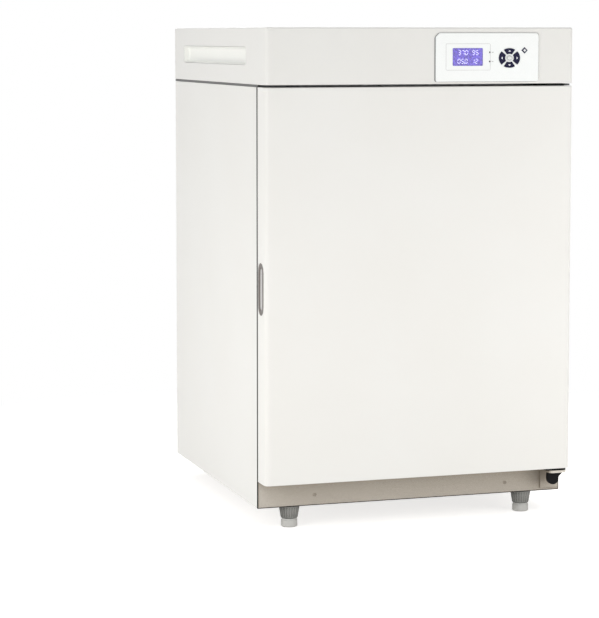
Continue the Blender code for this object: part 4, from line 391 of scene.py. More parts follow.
looks = {
    "cabinetPaint": {"color": (0.805, 0.803, 0.782), "tint": (0.785, 0.778, 0.750), "roughness": (0.34, 0.42),
                     "grainScale": 700.0, "relief": 0.06, "edge": 0.0012, "dust": 0.05},
    "hoodPaint": {"color": (0.795, 0.793, 0.772), "tint": (0.780, 0.774, 0.750), "roughness": (0.34, 0.42),
                  "grainScale": 700.0, "relief": 0.06, "edge": 0.0022, "dust": 0.08},
    "doorPaint": {"color": (0.815, 0.812, 0.792), "tint": (0.800, 0.792, 0.764), "roughness": (0.32, 0.40),
                  "grainScale": 700.0, "relief": 0.06, "edge": 0.0020, "dust": 0.03},
    # the front frame darkens where covered, most under the door's overhang: painted shade
    "framePaint": {"color": (0.740, 0.710, 0.655), "tint": (0.700, 0.665, 0.605), "roughness": (0.38, 0.48),
                   "grainScale": 650.0, "relief": 0.08, "edge": 0.0008, "dust": 0.08,
                   "coverShade": (0.290, 0.248, 0.198), "reach": 0.14},
    "linerPlastic": {"color": (0.780, 0.790, 0.790), "tint": (0.760, 0.768, 0.764), "roughness": (0.30, 0.40),
                     "grainScale": 900.0, "relief": 0.05, "edge": 0.0012},
    # paler than the hood's paint: painted light for the bright inside of the grip recesses
    "trayLitPlastic": {"color": (0.905, 0.912, 0.885), "tint": (0.880, 0.885, 0.855), "roughness": (0.40, 0.48),
                    "grainScale": 700.0, "relief": 0.05, "edge": 0.0015},
    "panelPlastic": {"color": (0.915, 0.945, 0.945), "tint": (0.930, 0.945, 0.940), "roughness": (0.24, 0.30),
                     "grainScale": 1500.0, "relief": 0.02, "edge": 0.0010, "sockets": {"Coat Weight": 0.15}},
    "stainlessSteel": {"color": (0.660, 0.658, 0.645), "tint": (0.625, 0.622, 0.610), "roughness": (0.28, 0.38),
                       "grainScale": 60.0, "stretch": (1.0, 12.0, 40.0), "relief": 0.04, "depth": 0.0001,
                       "edge": 0.0006, "sockets": {"Metallic": 1.0}},
    "shelfSteel": {"color": (0.630, 0.630, 0.620), "tint": (0.580, 0.580, 0.570), "roughness": (0.24, 0.38),
                   "grainScale": 70.0, "stretch": (1.0, 30.0, 30.0), "relief": 0.05, "depth": 0.0001,
                   "edge": 0.0005, "sockets": {"Metallic": 1.0}},
    "zincSteel": {"color": (0.560, 0.570, 0.580), "tint": (0.470, 0.480, 0.500), "roughness": (0.30, 0.50),
                  "driftScale": 60.0, "drift": 0.9, "grainScale": 120.0, "relief": 0.05, "edge": 0.0004,
                  "wear": (0.33, 0.31, 0.28), "sockets": {"Metallic": 1.0}},
    "aluminium": {"color": (0.720, 0.725, 0.730), "tint": (0.660, 0.665, 0.670), "roughness": (0.26, 0.38),
                  "grainScale": 90.0, "stretch": (30.0, 30.0, 1.0), "relief": 0.06, "edge": 0.0005,
                  "sockets": {"Metallic": 1.0}},
    "brass": {"color": (0.660, 0.490, 0.230), "tint": (0.560, 0.400, 0.180), "roughness": (0.24, 0.42),
              "driftScale": 40.0, "grainScale": 200.0, "relief": 0.05, "edge": 0.0005,
              "wear": (0.80, 0.66, 0.38), "sockets": {"Metallic": 1.0}},
    "blackPlastic": {"color": (0.007, 0.007, 0.008), "tint": (0.012, 0.012, 0.013), "roughness": (0.52, 0.68),
                     "grainScale": 900.0, "relief": 0.12, "edge": 0.0007, "wear": (0.035, 0.035, 0.035),
                     "dust": 0.02, "sockets": {"Specular IOR Level": 0.10}},
    "greyPlastic": {"color": (0.300, 0.305, 0.310), "tint": (0.260, 0.265, 0.270), "roughness": (0.45, 0.60),
                    "grainScale": 800.0, "relief": 0.12, "edge": 0.0007, "dust": 0.06},
    # the foot collars darken where covered, at their tops under the cabinet: painted shade
    "footGrey": {"color": (0.300, 0.300, 0.285), "tint": (0.235, 0.235, 0.222), "roughness": (0.42, 0.58),
                 "driftScale": 30.0, "grainScale": 500.0, "relief": 0.14, "edge": 0.0005,
                 "wear": (0.42, 0.42, 0.40), "dust": 0.25, "coverShade": (0.020, 0.020, 0.019), "reach": 0.035},
    "footRubber": {"color": (0.560, 0.560, 0.545), "tint": (0.470, 0.468, 0.450), "roughness": (0.60, 0.78),
                   "grainScale": 450.0, "relief": 0.15, "edge": 0.0006, "dust": 0.2},
    "silicone": {"color": (0.640, 0.640, 0.620), "tint": (0.590, 0.590, 0.565), "roughness": (0.42, 0.56),
                 "grainScale": 500.0, "relief": 0.08, "edge": 0.0008,
                 "sockets": {"Subsurface Weight": 0.1, "Subsurface Radius": (0.004, 0.004, 0.003)}},
    # near-black for the strips that stand in for the shade in the gaps: painted shade
    "gapShadeBlack": {"color": (0.010, 0.010, 0.010), "tint": (0.016, 0.016, 0.016), "roughness": (0.75, 0.90),
                  "grainScale": 500.0, "relief": 0.10, "edge": 0.0004, "sockets": {"Specular IOR Level": 0.15}},
    "doorSeal": {"color": (0.165, 0.165, 0.165), "tint": (0.135, 0.135, 0.135), "roughness": (0.52, 0.68),
                 "grainScale": 500.0, "relief": 0.10, "edge": 0.0008, "dust": 0.1},
    "panelInk": {"color": (0.420, 0.410, 0.420), "tint": (0.480, 0.470, 0.480), "roughness": (0.45, 0.55),
                 "driftScale": 200.0},
    "insulation": {"color": (0.780, 0.740, 0.560), "tint": (0.700, 0.650, 0.470), "roughness": (0.85, 0.97),
                   "driftScale": 30.0, "grainScale": 90.0, "relief": 0.6, "depth": 0.001, "edge": 0.0010},
    "lampLens": {"color": (0.045, 0.045, 0.060), "tint": (0.060, 0.060, 0.075), "roughness": (0.15, 0.22),
                 "driftScale": 400.0, "edge": 0.0004},
}
for name, look in looks.items():
    startFinish(name, look)


def paintOver(tree, shader, tone, level, tint):
    # paints a tint over the tone where the level is 1
    wire(tree, shader, {"Base Color": mixed(tree, level, tone, colour(tint))})


def makeNavyKeys():
    # near-black navy key caps; each shows a light arrow, a wedge worked out from the distance to the ring's
    # middle along and across its own direction: it is inside where 1.1 |across| < tip - along
    look = {"color": (0.007, 0.006, 0.034), "tint": (0.010, 0.009, 0.046), "roughness": (0.30, 0.40),
            "grainScale": 1200.0, "relief": 0.04, "edge": 0.0006, "sockets": {"Specular IOR Level": 0.22}}
    mark = {"tall": 0.0031, "from": 0.0127, "sideFrom": 0.0150, "slope": 1.1, "color": (0.84, 0.84, 0.92)}
    ring = middleOf("key_centre")
    for way, lengthwise, sign in (("up", False, 1.0), ("down", False, -1.0), ("right", True, 1.0),
                                  ("left", True, -1.0)):
        tree, shader, tone = startFinish("navyKey_" + way, look)
        fromRing = fromPoint(tree, ring)
        outward, sideways = fromRing if lengthwise else fromRing[::-1]
        first = mark["sideFrom"] if lengthwise else mark["from"]
        along = maths(tree, "MULTIPLY", outward, sign)
        across = maths(tree, "MULTIPLY", maths(tree, "ABSOLUTE", sideways), mark["slope"])
        inside = maths(tree, "LESS_THAN", across, maths(tree, "SUBTRACT", first + mark["tall"], along))
        above = maths(tree, "GREATER_THAN", along, first)
        paintOver(tree, shader, tone, maths(tree, "MULTIPLY", inside, above), mark["color"])


def makeCentreKeys():
    # a rim is painted where a key's own distance is between two values: centre key, pale grey with a faint
    # oval at x x + z z; small key, navy round a light square turned on its corner, at |x| + |z|
    look = {"color": (0.800, 0.815, 0.810), "tint": (0.760, 0.775, 0.775), "roughness": (0.30, 0.40),
            "grainScale": 1200.0, "relief": 0.04, "edge": 0.0005}
    for kind, (first, last), rim in (("centre", (0.42, 0.62), (0.34, 0.36, 0.36)),
                                     ("small", (0.50, 1.60), (0.012, 0.012, 0.055))):
        tree, shader, tone = startFinish("greyKey_" + kind, look)
        low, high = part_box("key_" + kind)
        x, z = fromPoint(tree, (low + high) / 2)
        x, z = maths(tree, "DIVIDE", x, (high.x - low.x) / 2), maths(tree, "DIVIDE", z, (high.z - low.z) / 2)
        if kind == "small":
            parts = maths(tree, "ABSOLUTE", x), maths(tree, "ABSOLUTE", z)
        else:
            parts = maths(tree, "MULTIPLY", x, x), maths(tree, "MULTIPLY", z, z)
        total = maths(tree, "ADD", *parts)
        above, below = maths(tree, "GREATER_THAN", total, first), maths(tree, "LESS_THAN", total, last)
        paintOver(tree, shader, tone, maths(tree, "MULTIPLY", above, below), rim)


def makeGripFinish():
    # grey painted rim round a bright brushed cup: the bare metal starts a little behind the rim's face
    look = {"color": (0.180, 0.163, 0.152), "tint": (0.150, 0.136, 0.126), "roughness": (0.34, 0.46),
            "grainScale": 160.0, "stretch": (1.0, 1.0, 14.0), "relief": 0.06, "edge": 0.0006,
            "sockets": {"Specular IOR Level": 0.15}}
    cup = {"behind": 0.0016, "color": (0.95, 0.94, 0.93)}
    tree, shader, tone = startFinish("gripMetal", look)
    across = partsOf(tree, placeOf(tree))["X"]
    bare = maths(tree, "GREATER_THAN", across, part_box("grip_cup")[0].x + cup["behind"])
    paintOver(tree, shader, tone, bare, cup["color"])
    wire(tree, shader, {"Metallic": bare})


def makeRockerFinish():
    # white marks on the mains rocker: a bar for on in its upper half, a ring for off in its lower half
    look = {"color": (0.009, 0.009, 0.010), "tint": (0.013, 0.013, 0.014), "roughness": (0.42, 0.55),
            "grainScale": 900.0, "relief": 0.10, "edge": 0.0006}
    mark = {"offset": 0.45, "bar": (0.0005, 0.0019), "ring": 0.0016, "line": 0.00045, "color": (0.78, 0.78, 0.78)}
    tree, shader, tone = startFinish("rockerPlastic", look)
    low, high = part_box("power_switch")
    reach = mark["offset"] * (high.z - low.z) / 2
    across, up = fromPoint(tree, (low + high) / 2)
    barUp = maths(tree, "ABSOLUTE", maths(tree, "SUBTRACT", up, reach))
    bar = maths(tree, "MULTIPLY", maths(tree, "LESS_THAN", maths(tree, "ABSOLUTE", across), mark["bar"][0]),
                maths(tree, "LESS_THAN", barUp, mark["bar"][1]))
    ringUp = maths(tree, "ADD", up, reach)
    square = maths(tree, "ADD", maths(tree, "MULTIPLY", across, across), maths(tree, "MULTIPLY", ringUp, ringUp))
    fromRing = maths(tree, "ABSOLUTE", maths(tree, "SUBTRACT", maths(tree, "SQRT", square), mark["ring"]))
    ring = maths(tree, "LESS_THAN", fromRing, mark["line"])
    paintOver(tree, shader, tone, maths(tree, "MAXIMUM", bar, ring), mark["color"])


def brickOf(tree, offset, squash, wires):
    # bricks on the x and z plane: the coordinates are turned so that z takes the place of y
    turned = newNode(tree, "Mapping", {"Vector": placeOf(tree), "Rotation": (math.pi / 2, 0.0, 0.0)},
                     vector_type="POINT").outputs[0]
    return newNode(tree, "TexBrick", {"Vector": turned, **wires}, offset=offset, squash=squash).outputs["Color"]


def makeDisplayFinishes():
    # backlight: violet-blue glow cut by the dark lines between dots, which are steps of x and z
    look = {"color": (0.135, 0.095, 0.470), "glow": 0.34, "roughness": 0.25, "pitch": 0.00047, "line": 0.16}
    tree, shader = newMaterial("displayBacklight")
    dots = brickOf(tree, 0.0, 1.0, {"Scale": 1.0 / look["pitch"], "Brick Width": 1.0, "Row Height": 1.0,
                                    "Mortar Size": look["line"] / 2, "Mortar Smooth": 0.5,
                                    "Color1": colour(look["color"]), "Color2": colour(look["color"], 1.12),
                                    "Mortar": colour(look["color"], 0.55)})
    tone = placeEffect(tree, "drift", Color=dots, Tint=colour(look["color"], 1.7), Scale=260.0, Amount=0.8)["Color"]
    wire(tree, shader, {"Base Color": tone, "Emission Color": tone, "Emission Strength": look["glow"],
                        "Roughness": look["roughness"]})

    look = {"color": (0.86, 0.84, 1.00), "tint": (0.72, 0.69, 0.96), "roughness": (0.3, 0.4), "driftScale": 300.0}
    tree, shader, tone = startFinish("displayDigits", look)
    wire(tree, shader, {"Emission Color": tone, "Emission Strength": 0.75})

    for name, tint, roughness, ior in (("displayClear", (0.96, 0.97, 1.0), 0.03, 1.49),
                                       ("doorGlass", (0.93, 0.98, 0.96), 0.02, 1.50)):
        tree, shader = newMaterial(name)
        smear = placeEffect(tree, "grain", Scale=14.0, Low=roughness, High=roughness + 0.03)
        tone = placeEffect(tree, "drift", Color=colour(tint), Tint=colour(tint, 0.985), Scale=6.0, Amount=0.6)
        wire(tree, shader, {"Transmission Weight": 1.0, "IOR": ior, "Roughness": smear["Level"],
                            "Base Color": tone["Color"]})


def makeCircuitBoard():
    # green lacquer with lighter copper tracks, which are the joints of a brick pattern
    look = {"color": (0.020, 0.130, 0.060), "tint": (0.014, 0.100, 0.045), "roughness": (0.28, 0.40),
            "grainScale": 400.0, "relief": 0.05, "edge": 0.0003, "track": (0.060, 0.240, 0.120)}
    tree, shader, tone = startFinish("circuitBoard", look)
    black = colour((0.0, 0.0, 0.0))
    tracks = brickOf(tree, 0.37, 0.7, {"Scale": 160.0, "Mortar Size": 0.035, "Mortar Smooth": 0.1,
                                       "Brick Width": 0.9, "Row Height": 0.3, "Color1": black, "Color2": black,
                                       "Mortar": white})
    paintOver(tree, shader, tone, tracks, look["track"])


makeNavyKeys()
makeCentreKeys()
makeGripFinish()
makeRockerFinish()
makeDisplayFinishes()
makeCircuitBoard()
print("finishes made:", len(finishes))

nodeFinishes = {
    "cabinetPaint": "side_panel_left side_panel_right rear_panel",
    "hoodPaint": "hood_shell",
    "doorPaint": "door_skin",
    "framePaint": "front_frame base_pan hinge_bracket_lower",
    "linerPlastic": "door_liner",
    "panelPlastic": "control_panel",
    "stainlessSteel": "inner_chamber rail_left rail_right water_pan fan_shroud",
    "shelfSteel": "shelf_lower shelf_middle shelf_upper",
    "zincSteel": "top_deck inner_hinge_upper inner_hinge_lower power_supply",
    "aluminium": "fan_impeller glass_edge_rail",
    "gripMetal": "grip_cup",
    "brass": "gas_valve",
    # the upper hinge bracket is black as painted shade for the dark gap line under the hood
    "blackPlastic": "fan_motor co2_sensor power_inlet hinge_cover_lower "
                    "door_hinge_shoe glass_door_knob hinge_bracket_upper",
    "greyPlastic": "port_sleeve",
    "footGrey": " ".join(name for name in nodes if name.startswith("foot_collar")),
    "footRubber": " ".join(name for name in nodes if name.startswith("foot_pad")),
    "silicone": "port_stopper chamber_gasket",
    "doorSeal": "door_gasket",
    "insulation": "insulation_jacket door_insulation",
    "circuitBoard": "control_board",
    "displayClear": "display_window",
    "displayBacklight": "lcd_module",
    "lampLens": "led_upper led_lower",
    "doorGlass": "inner_glass_door",
    "greyKey_centre": "key_centre",
    "greyKey_small": "key_small",
    "rockerPlastic": "power_switch",
}
for way in ("up", "down", "left", "right"):
    nodeFinishes["navyKey_" + way] = "key_" + way
for finishName, names in nodeFinishes.items():
    for name in names.split():
        slots = nodes[name].data.materials
        slots.clear()
        slots.append(finishes[finishName])
print("finishes on solids:", sum(len(names.split()) for names in nodeFinishes.values()))


# Levelling feet: ribbed collar on a threaded stud, and a soft pad with rings moulded in its sole.
feet = {"narrow": 0.82, "ribs": 22, "ribDepth": 0.075, "columns": 132, "topBand": 0.0022, "footBand": 0.0016,
        "stud": 0.0048, "pitch": 0.0015, "threadDepth": 0.0005, "threadRows": 64, "clear": 0.0003,
        "sole": 0.86, "soleWave": 26.0, "soleDepth": 0.0003}


def makeCollar(corner):
    low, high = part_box("foot_collar_" + corner)
    wide, stud = (high.x - low.x) / 2, feet["stud"]
    narrow, top = wide * feet["narrow"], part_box("base_pan")[0].z - feet["clear"]
    # a taper from the narrow foot to the wide top with a plain band at each end, and then the stud
    foot = [(0.0, low.z), (narrow * 0.86, low.z), (narrow * 0.95, low.z + 0.0004)]
    taper = np.linspace((narrow, low.z + feet["footBand"]), (wide, top - feet["topBand"]), 15)
    shoulder = [(wide, top - 0.0006), (wide - 0.0006, top), (stud + 0.0012, top), (stud, top)]
    thread = np.linspace((stud, top), (stud, high.z - 0.001), feet["threadRows"])
    profile = np.concatenate((foot, taper, shoulder, thread, [(stud * 0.7, high.z), (0.0, high.z)]))
    ribEnd = len(foot) + len(taper) - 1
    threadStart = ribEnd + 1 + len(shoulder)
    threadEnd = threadStart + len(thread) - 1

    def ripple(angle, height, row):
        # ribs: a flattened cosine of the angle on the taper only; thread: a wave of height less angle
        wave = 0.5 + 0.5 * np.clip(1.6 * np.cos(feet["ribs"] * angle), -1, 1)
        screw = 0.5 + 0.5 * np.cos(2 * math.pi * height / feet["pitch"] - angle)
        onTaper = (row > len(foot)) & (row < ribEnd)
        onStud = (row >= threadStart) & (row < threadEnd)
        return 1 - feet["ribDepth"] * (1 - wave) * onTaper - feet["threadDepth"] / stud * screw * onStud

    grid = turnedGrid(profile, middleOf("foot_collar_" + corner), feet["columns"], ripple)
    collar = buildPiece("collar_" + corner, [{"points": grid}], "foot_" + corner, "footGrey", 60)
    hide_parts("foot_collar_" + corner)


def makePad(corner):
    low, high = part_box("foot_pad_" + corner)
    radius, tall = (high.x - low.x) / 2, high.z - low.z
    # rings in the sole: a wave of the radius that starts outside the middle
    sole = np.linspace(0.0, radius * feet["sole"], 25)
    wave = (0.5 - 0.5 * np.cos(sole / radius * feet["soleWave"])) * (sole > radius * 0.2)
    curve = roundProfile((radius * feet["sole"], 0.0), (radius, tall * 0.30), -0.22, 8)[1:]
    wall = np.array([(1.0, 0.72), (0.985, 0.80), (0.93, 0.83), (0.93, 0.90), (0.90, 1.0), (0.0, 1.0)])
    profile = np.concatenate((np.stack((sole, feet["soleDepth"] * wave), 1), curve, wall * (radius, tall)))
    grid = turnedGrid(profile + (0.0, low.z), middleOf("foot_collar_" + corner), 48)
    pad = buildPiece("pad_" + corner, [{"points": grid}], "foot_" + corner, "footRubber", 50)
    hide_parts("foot_pad_" + corner)


# Recessed grip in the door's left edge: a thin metal cup with a rolled rim.
grip = {"rim": 0.0105, "sheet": 0.0012, "floorRound": 0.005, "perCorner": 14}


def makeGrip():
    low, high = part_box("grip_cup")
    wide, face, inner = (high.y - low.y) / 2, low.x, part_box("door_skin")[0].x
    hole, sheet, bend = -grip["rim"], grip["sheet"], grip["floorRound"]
    # from the outer edge of the rim over its roll, down the wall and round into the floor, then back outside
    rim = [(0.0, inner + 0.0002), (0.0, face + 0.0003), (-0.0004, face), (hole + 0.0012, face),
           (hole + 0.0003, face + 0.0004), (hole, face + 0.0012)]
    floor = [(-wide + 0.0001, high.x - sheet), (-wide + 0.0001, high.x)]
    outside = [(hole + sheet, inner + 0.0012), (0.0, inner + 0.0012), (0.0, inner + 0.0002)]
    profile = np.concatenate((rim, bendProfile(hole, high.x - sheet, bend, 9), floor,
                              bendProfile(hole + sheet, high.x, bend + sheet, 9)[::-1], outside))
    grid = loopGrid(low.y, high.y, low.z, high.z, wide, profile, "X", grip["perCorner"])
    cup = buildPiece("gripCup", [{"points": grid}], "outer_door", "gripMetal", 35)
    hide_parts("grip_cup")


# Magnetic seal of the outer door, with a bellows section.
seal = {"width": 0.010, "round": 0.008, "groove": 0.0011, "perCorner": 10}


def makeDoorSeal():
    low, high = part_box("door_gasket")
    width, groove = seal["width"], seal["groove"]
    # outset and share of the depth on the outer side of the section; the inner side is its mirror image
    outer = [(0.0, 0.0), (0.0, 0.22), (-groove, 0.34), (-groove, 0.50), (0.0, 0.62), (0.0, 0.85),
             (-0.0006, 0.98), (-0.0016, 1.0)]
    inner = [(-width - outset, share) for outset, share in reversed(outer)]
    profile = [(outset, low.y + share * (high.y - low.y))
               for outset, share in outer + [(-width / 2, 0.93)] + inner]
    grid = loopGrid(low.x, high.x, low.z, high.z, seal["round"] + width, profile, "Y", seal["perCorner"])
    piece = buildPiece("doorSeal", [ringed(grid)], "outer_door", "doorSeal", 45)
    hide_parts("door_gasket")


# Dark strips that stand in for the shade in the gaps round the door, under the hood and in the seams of the front
# frame: painted shade.
strips = {"width": 0.004, "inset": 0.0016, "clear": 0.0003, "swing": 0.0282, "line": 0.0013, "edgeShade": 0.0028,
          "axisFromShoe": 0.0115}


def makeDoorGapShade():
    # a black strip round the back of the door, painted shade for the gap between door and cabinet; beside the hinge it
    # thins, so that it keeps inside a circle round the hinge as the door swings
    low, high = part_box("door_skin")
    axis = middleOf("door_hinge_shoe").x + strips["axisFromShoe"], (low.y + high.y) / 2
    clear, thin = strips["clear"], -strips["width"]
    back, case = high.y + clear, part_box("side_panel_left")[0].y - 2 * clear
    grid = loopGrid(low.x + clear, axis[0] + 0.004, low.z + clear, high.z - clear, 0.004,
                    [(0.0, back), (0.0, case), (thin, case), (thin, back)], "Y", 6)
    past = np.maximum(0.0, grid[..., 0] - axis[0])
    grid[..., 1] = np.minimum(grid[..., 1], axis[1] + np.sqrt(strips["swing"] ** 2 - past ** 2))
    buildPiece("doorGapShade", [ringed(grid)], "outer_door", "gapShadeBlack", 30)


def makeHoodGapShade():
    # a dark strip in the gap under the hood, painted shade for that gap, from the left side round the back to the
    # upper hinge leaf
    low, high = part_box("side_panel_left")
    left, right = low.x + strips["inset"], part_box("side_panel_right")[1].x - strips["inset"]
    front, rear = low.y + 0.001, high.y - 0.001
    path = [(left, front), (left, rear), (right, rear), (right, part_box("hinge_bracket_upper")[1].y + 0.002)]
    profile = boxOutline(0.0, strips["width"], high.z + strips["clear"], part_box("hood_shell")[0].z - strips["clear"])
    buildPiece("hoodGapShade", [capped(runGrid(path, profile))], "cabinet", "doorSeal", 30)


def makeFrameGapShades():
    # below the door: black strips as painted shade in the seam beside each folded side sheet and along the line where
    # the frame meets the base
    low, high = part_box("front_frame")
    panelLow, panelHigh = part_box("side_panel_left")
    face, line = low.y, strips["line"]
    bottom, top = low.z + 0.0002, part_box("door_skin")[0].z - 0.0004
    seamDepth = [(-0.0004, face - line), (-0.0004, face - 0.00005)]
    edgeShadeTall = [(0.0, panelLow.z + 0.0002), (0.0, panelHigh.z - 0.0002)]
    seams = []
    for side in (-1, 1):
        seamSides = sorted((side * (high.x + 0.0014), side * (high.x + 0.0001)))
        seams.append(capped(outlineGrid(boxOutline(*seamSides, bottom, top), seamDepth, "Y")))
        # a black strip on the front edge of each side sheet: painted shade that widens the dark line beside the door
        edgeShadeSides = sorted((side * (abs(panelLow.x) + 0.00005), side * (abs(panelLow.x) - 0.0004)))
        edgeShade = boxOutline(*edgeShadeSides, panelLow.y - 0.0002, panelLow.y + strips["edgeShade"])
        seams.append(capped(outlineGrid(edgeShade, edgeShadeTall, "Z")))
    seams.append(capped(outlineGrid(boxOutline(low.x, high.x, bottom, bottom + line),
                                    [(0.0, face - 0.0006), (0.0, face - 0.00005)], "Y")))
    buildPiece("frameGapShades", seams, "cabinet", "gapShadeBlack", 30)


# Liner of each side grip in the hood: a moulded tray with a rounded lip and a sloped lower wall; its colour, paler
# than the hood's paint, is painted light for the bright inside of the recess.
tray = {"fromFrame": 0.078, "fromRear": 0.084, "fromBase": 0.0375, "tall": 0.036, "depth": 0.014,
        "skin": 0.0006, "round": 0.006, "bend": 0.0045, "slope": 0.0019, "clear": 0.0003}


def makeTrays():
    low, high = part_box("hood_shell")
    front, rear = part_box("front_frame")[0].y + tray["fromFrame"], high.y - tray["fromRear"]
    bottom, half = low.z + tray["fromBase"], tray["tall"] / 2
    depth, edge = tray["depth"], -tray["clear"]
    floor = depth - tray["skin"] - tray["clear"]
    back = [(edge, depth + edge), (-half, depth + edge)]
    lip = [(edge, depth + edge), (edge, 0.0008), (2 * edge, 0.0003), (4 * edge, 0.0003), (-0.0017, 0.0008)]
    profile = np.concatenate((lip, bendProfile(-0.0020, floor, tray["bend"], 8), [(-half, floor)]))
    inside = (np.arange(len(profile)) > 3)[:, None]
    for name, side in (("Left", -1), ("Right", 1)):
        shell, wall = [loopGrid(front, rear, bottom, bottom + 2 * half, tray["round"], part, "X", 10)
                       for part in (profile, back)]
        # the lower wall leans: points rise by the slope times their depth, most at the bottom edge
        nearBottom = np.clip((bottom + half - shell[..., 2]) / half, 0.0, 1.0) ** 4
        shell[..., 2] += tray["slope"] * shell[..., 0] / depth * nearBottom * inside
        for grid in (shell, wall):
            grid[..., 0] = side * (high.x - grid[..., 0])
        buildPiece("gripTray" + name, [{"points": shell}, {"points": wall}], "cabinet",
                   "trayLitPlastic", 40)


# Moulded cover under the lower hinge leaf: a rounded tab with an ear towards the corner of the cabinet.
cover = {"middle": 0.0135, "half": 0.0118, "drop": 0.0255, "thick": 0.012, "edge": 0.0012, "leftLean": 0.0022}


def makeCover():
    low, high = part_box("hinge_cover_lower")
    middle, top, half = low.x + cover["middle"], high.z, cover["half"]
    left, right = middle - half, middle + half
    # outline from the ear's tip clockwise: ear, waist, half circle below, left side that leans in at the top
    turn = np.linspace(-0.15, math.pi, 15)
    curve = np.stack((middle + half * np.cos(turn), top - cover["drop"] + half * (1 - np.sin(turn))), 1)
    ear = [(high.x - 0.0022, top), (high.x, top - 0.0008), (high.x - 0.0004, top - 0.0030),
           (high.x - 0.0034, top - 0.0056), (right + 0.0006, top - 0.0092)]
    upper = [(left, top - 0.0045), (left + cover["leftLean"], top), (right - 0.0035, top), (right, top - 0.0022)]
    outline = np.concatenate((ear, curve, upper))[::-1]
    grid = outlineGrid(outline, plateProfile(low.y, low.y + cover["thick"], cover["edge"]), "Y")
    piece = buildPiece("hingeCover", [capped(grid)], "cabinet", "blackPlastic", 40)
    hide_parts("hinge_cover_lower")


# Display: two rows of seven-bar digits, the printed outline round it and a mark beside each lamp.
display = {"rows": ("37.0 95", "05.0 12"), "digitWide": 0.0049, "digitTall": 0.0086, "bar": 0.0012, "lean": 0.06,
           "pitch": 1.52, "outline": (0.0481, 0.1431, 0.9130, 0.9657), "round": 0.0025, "line": 0.0005,
           "ink": 0.00012, "mark": (0.0018, 0.0006), "fromLamp": 0.0060}
barSets = {"0": "abcdef", "1": "bc", "2": "abged", "3": "abgcd", "4": "fgbc", "5": "afgcd", "6": "afgedc",
           "7": "abc", "8": "abcdefg", "9": "abcdfg", " ": ""}


def barOf(length, bar):
    # a flat hexagon with a point at each end
    half = bar / 2
    return np.array([(half, 0), (bar, half), (length - bar, half), (length - half, 0), (length - bar, -half),
                     (bar, -half)])


def makeDigits():
    low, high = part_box("display_window")
    wide, tall, bar = display["digitWide"], display["digitTall"], display["bar"]
    rise, pitch = tall / 2, wide * display["pitch"]
    lying, standing = barOf(wide, bar), barOf(rise, bar)[:, ::-1]
    shapes = {"a": lying + (0, tall), "g": lying + (0, rise), "d": lying, "f": standing + (0, rise),
              "b": standing + (wide, rise), "e": standing, "c": standing + (wide, 0)}
    dot = np.array(boxOutline(0, bar, -bar / 2, bar / 2))
    rowGap = (high.z - low.z) / 2
    outlines = []
    for row, text in enumerate(display["rows"]):
        base = high.z - rowGap * (row + 1) + (rowGap - tall) / 2
        digitCount = len(text.replace(".", ""))
        left = (low.x + high.x) / 2 - (digitCount * pitch - (pitch - wide)) / 2
        for letter in text:
            if letter == ".":
                outlines.append(dot + (left - pitch + wide + bar, base))
            else:
                outlines += [shapes[key] + (left, base) for key in barSets[letter]]
                left += pitch
    # each outline leans by its height and has a front and a back just behind the window
    depth = high.y + np.array([[0.00008], [0.00020]])
    grids = [capped(onAxis("Y", x + display["lean"] * (z - low.z), z, depth)) for x, z in
             (outline.T[:, None, :] for outline in outlines)]
    buildPiece("displayDigits", grids, "cabinet", "displayDigits", 30)


def makePanelPrint():
    front, ink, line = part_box("control_panel")[0].y, display["ink"], display["line"]
    profile = [(0.0, front + ink), (0.0, front - ink), (-line, front - ink), (-line, front + ink)]
    grid = loopGrid(*display["outline"], display["round"], profile, "Y", 6)
    buildPiece("displayOutline", [ringed(grid)], "cabinet", "panelInk", 30)
    profile, marks = [(0.0, front + ink), (0.0, front - ink), (-0.0004, front - ink)], []
    wide, tall = display["mark"]
    for name in ("led_upper", "led_lower"):
        x, z = middleOf(name).x + display["fromLamp"], middleOf(name).z
        marks.append(capped(loopGrid(x - wide, x + wide, z - tall, z + tall, 0.0002, profile, "Y", 3)))
    buildPiece("lampMarks", marks, "cabinet", "panelInk", 30)


# Thin dark band round the control panel, widest at its left, with the panel's cut corner: painted shade for the shadow
# line along the panel's edge.
panelShade = {"left": 0.0021, "other": 0.0004, "proud": 0.0013, "cut": 0.008, "over": 0.0001,
            "outerRounds": (0.0045, 0.0050, 0.0050, 0.0030, 0.0030),
            "innerRounds": (0.0042, 0.0042, 0.0042, 0.0026, 0.0026)}


def cutOutline(left, right, bottom, top, cut):
    return [(left, bottom), (right, bottom), (right, top), (left + cut, top), (left, top - cut)]


def makePanelEdgeShade():
    low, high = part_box("control_panel")
    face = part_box("door_skin")[0].y
    wide, other, over = panelShade["left"], panelShade["other"], panelShade["over"]
    outer = softCorners(cutOutline(low.x - wide, high.x + other, low.z - other, high.z + other,
                                   panelShade["cut"] + 0.4 * wide), panelShade["outerRounds"])
    inner = softCorners(cutOutline(low.x - over, high.x + over, low.z - over, high.z + over, panelShade["cut"]),
                        panelShade["innerRounds"])
    # three rings from back to front on the outside, then two from front to back on the inside
    front = face - panelShade["proud"]
    rings = ((outer, face - over), (outer, front + 0.0003), (outer, front), (inner, front), (inner, face - over))
    points = np.stack([onAxis("Y", ring[:, 0], ring[:, 1], depth) for ring, depth in rings])
    points[2] += 0.12 * (points[3] - points[2]) * (1, 0, 1)
    buildPiece("panelEdgeShade", [ringed(points)], "cabinet", "greyPlastic", 30)


# Pan-head screws with a cross recess, on the back, on the hinges and on the front frame.
screws = {"radius": 0.0034, "dome": 0.0016, "cross": 0.0006, "reach": 0.0021, "recess": 0.0010,
          "fromEdge": 0.012, "fromHoodEdge": 0.014, "hoodPlaces": (-0.10, 0.06),
          "framePlace": (0.205, 0.066), "onBlock": (0.0045, 0.0065)}


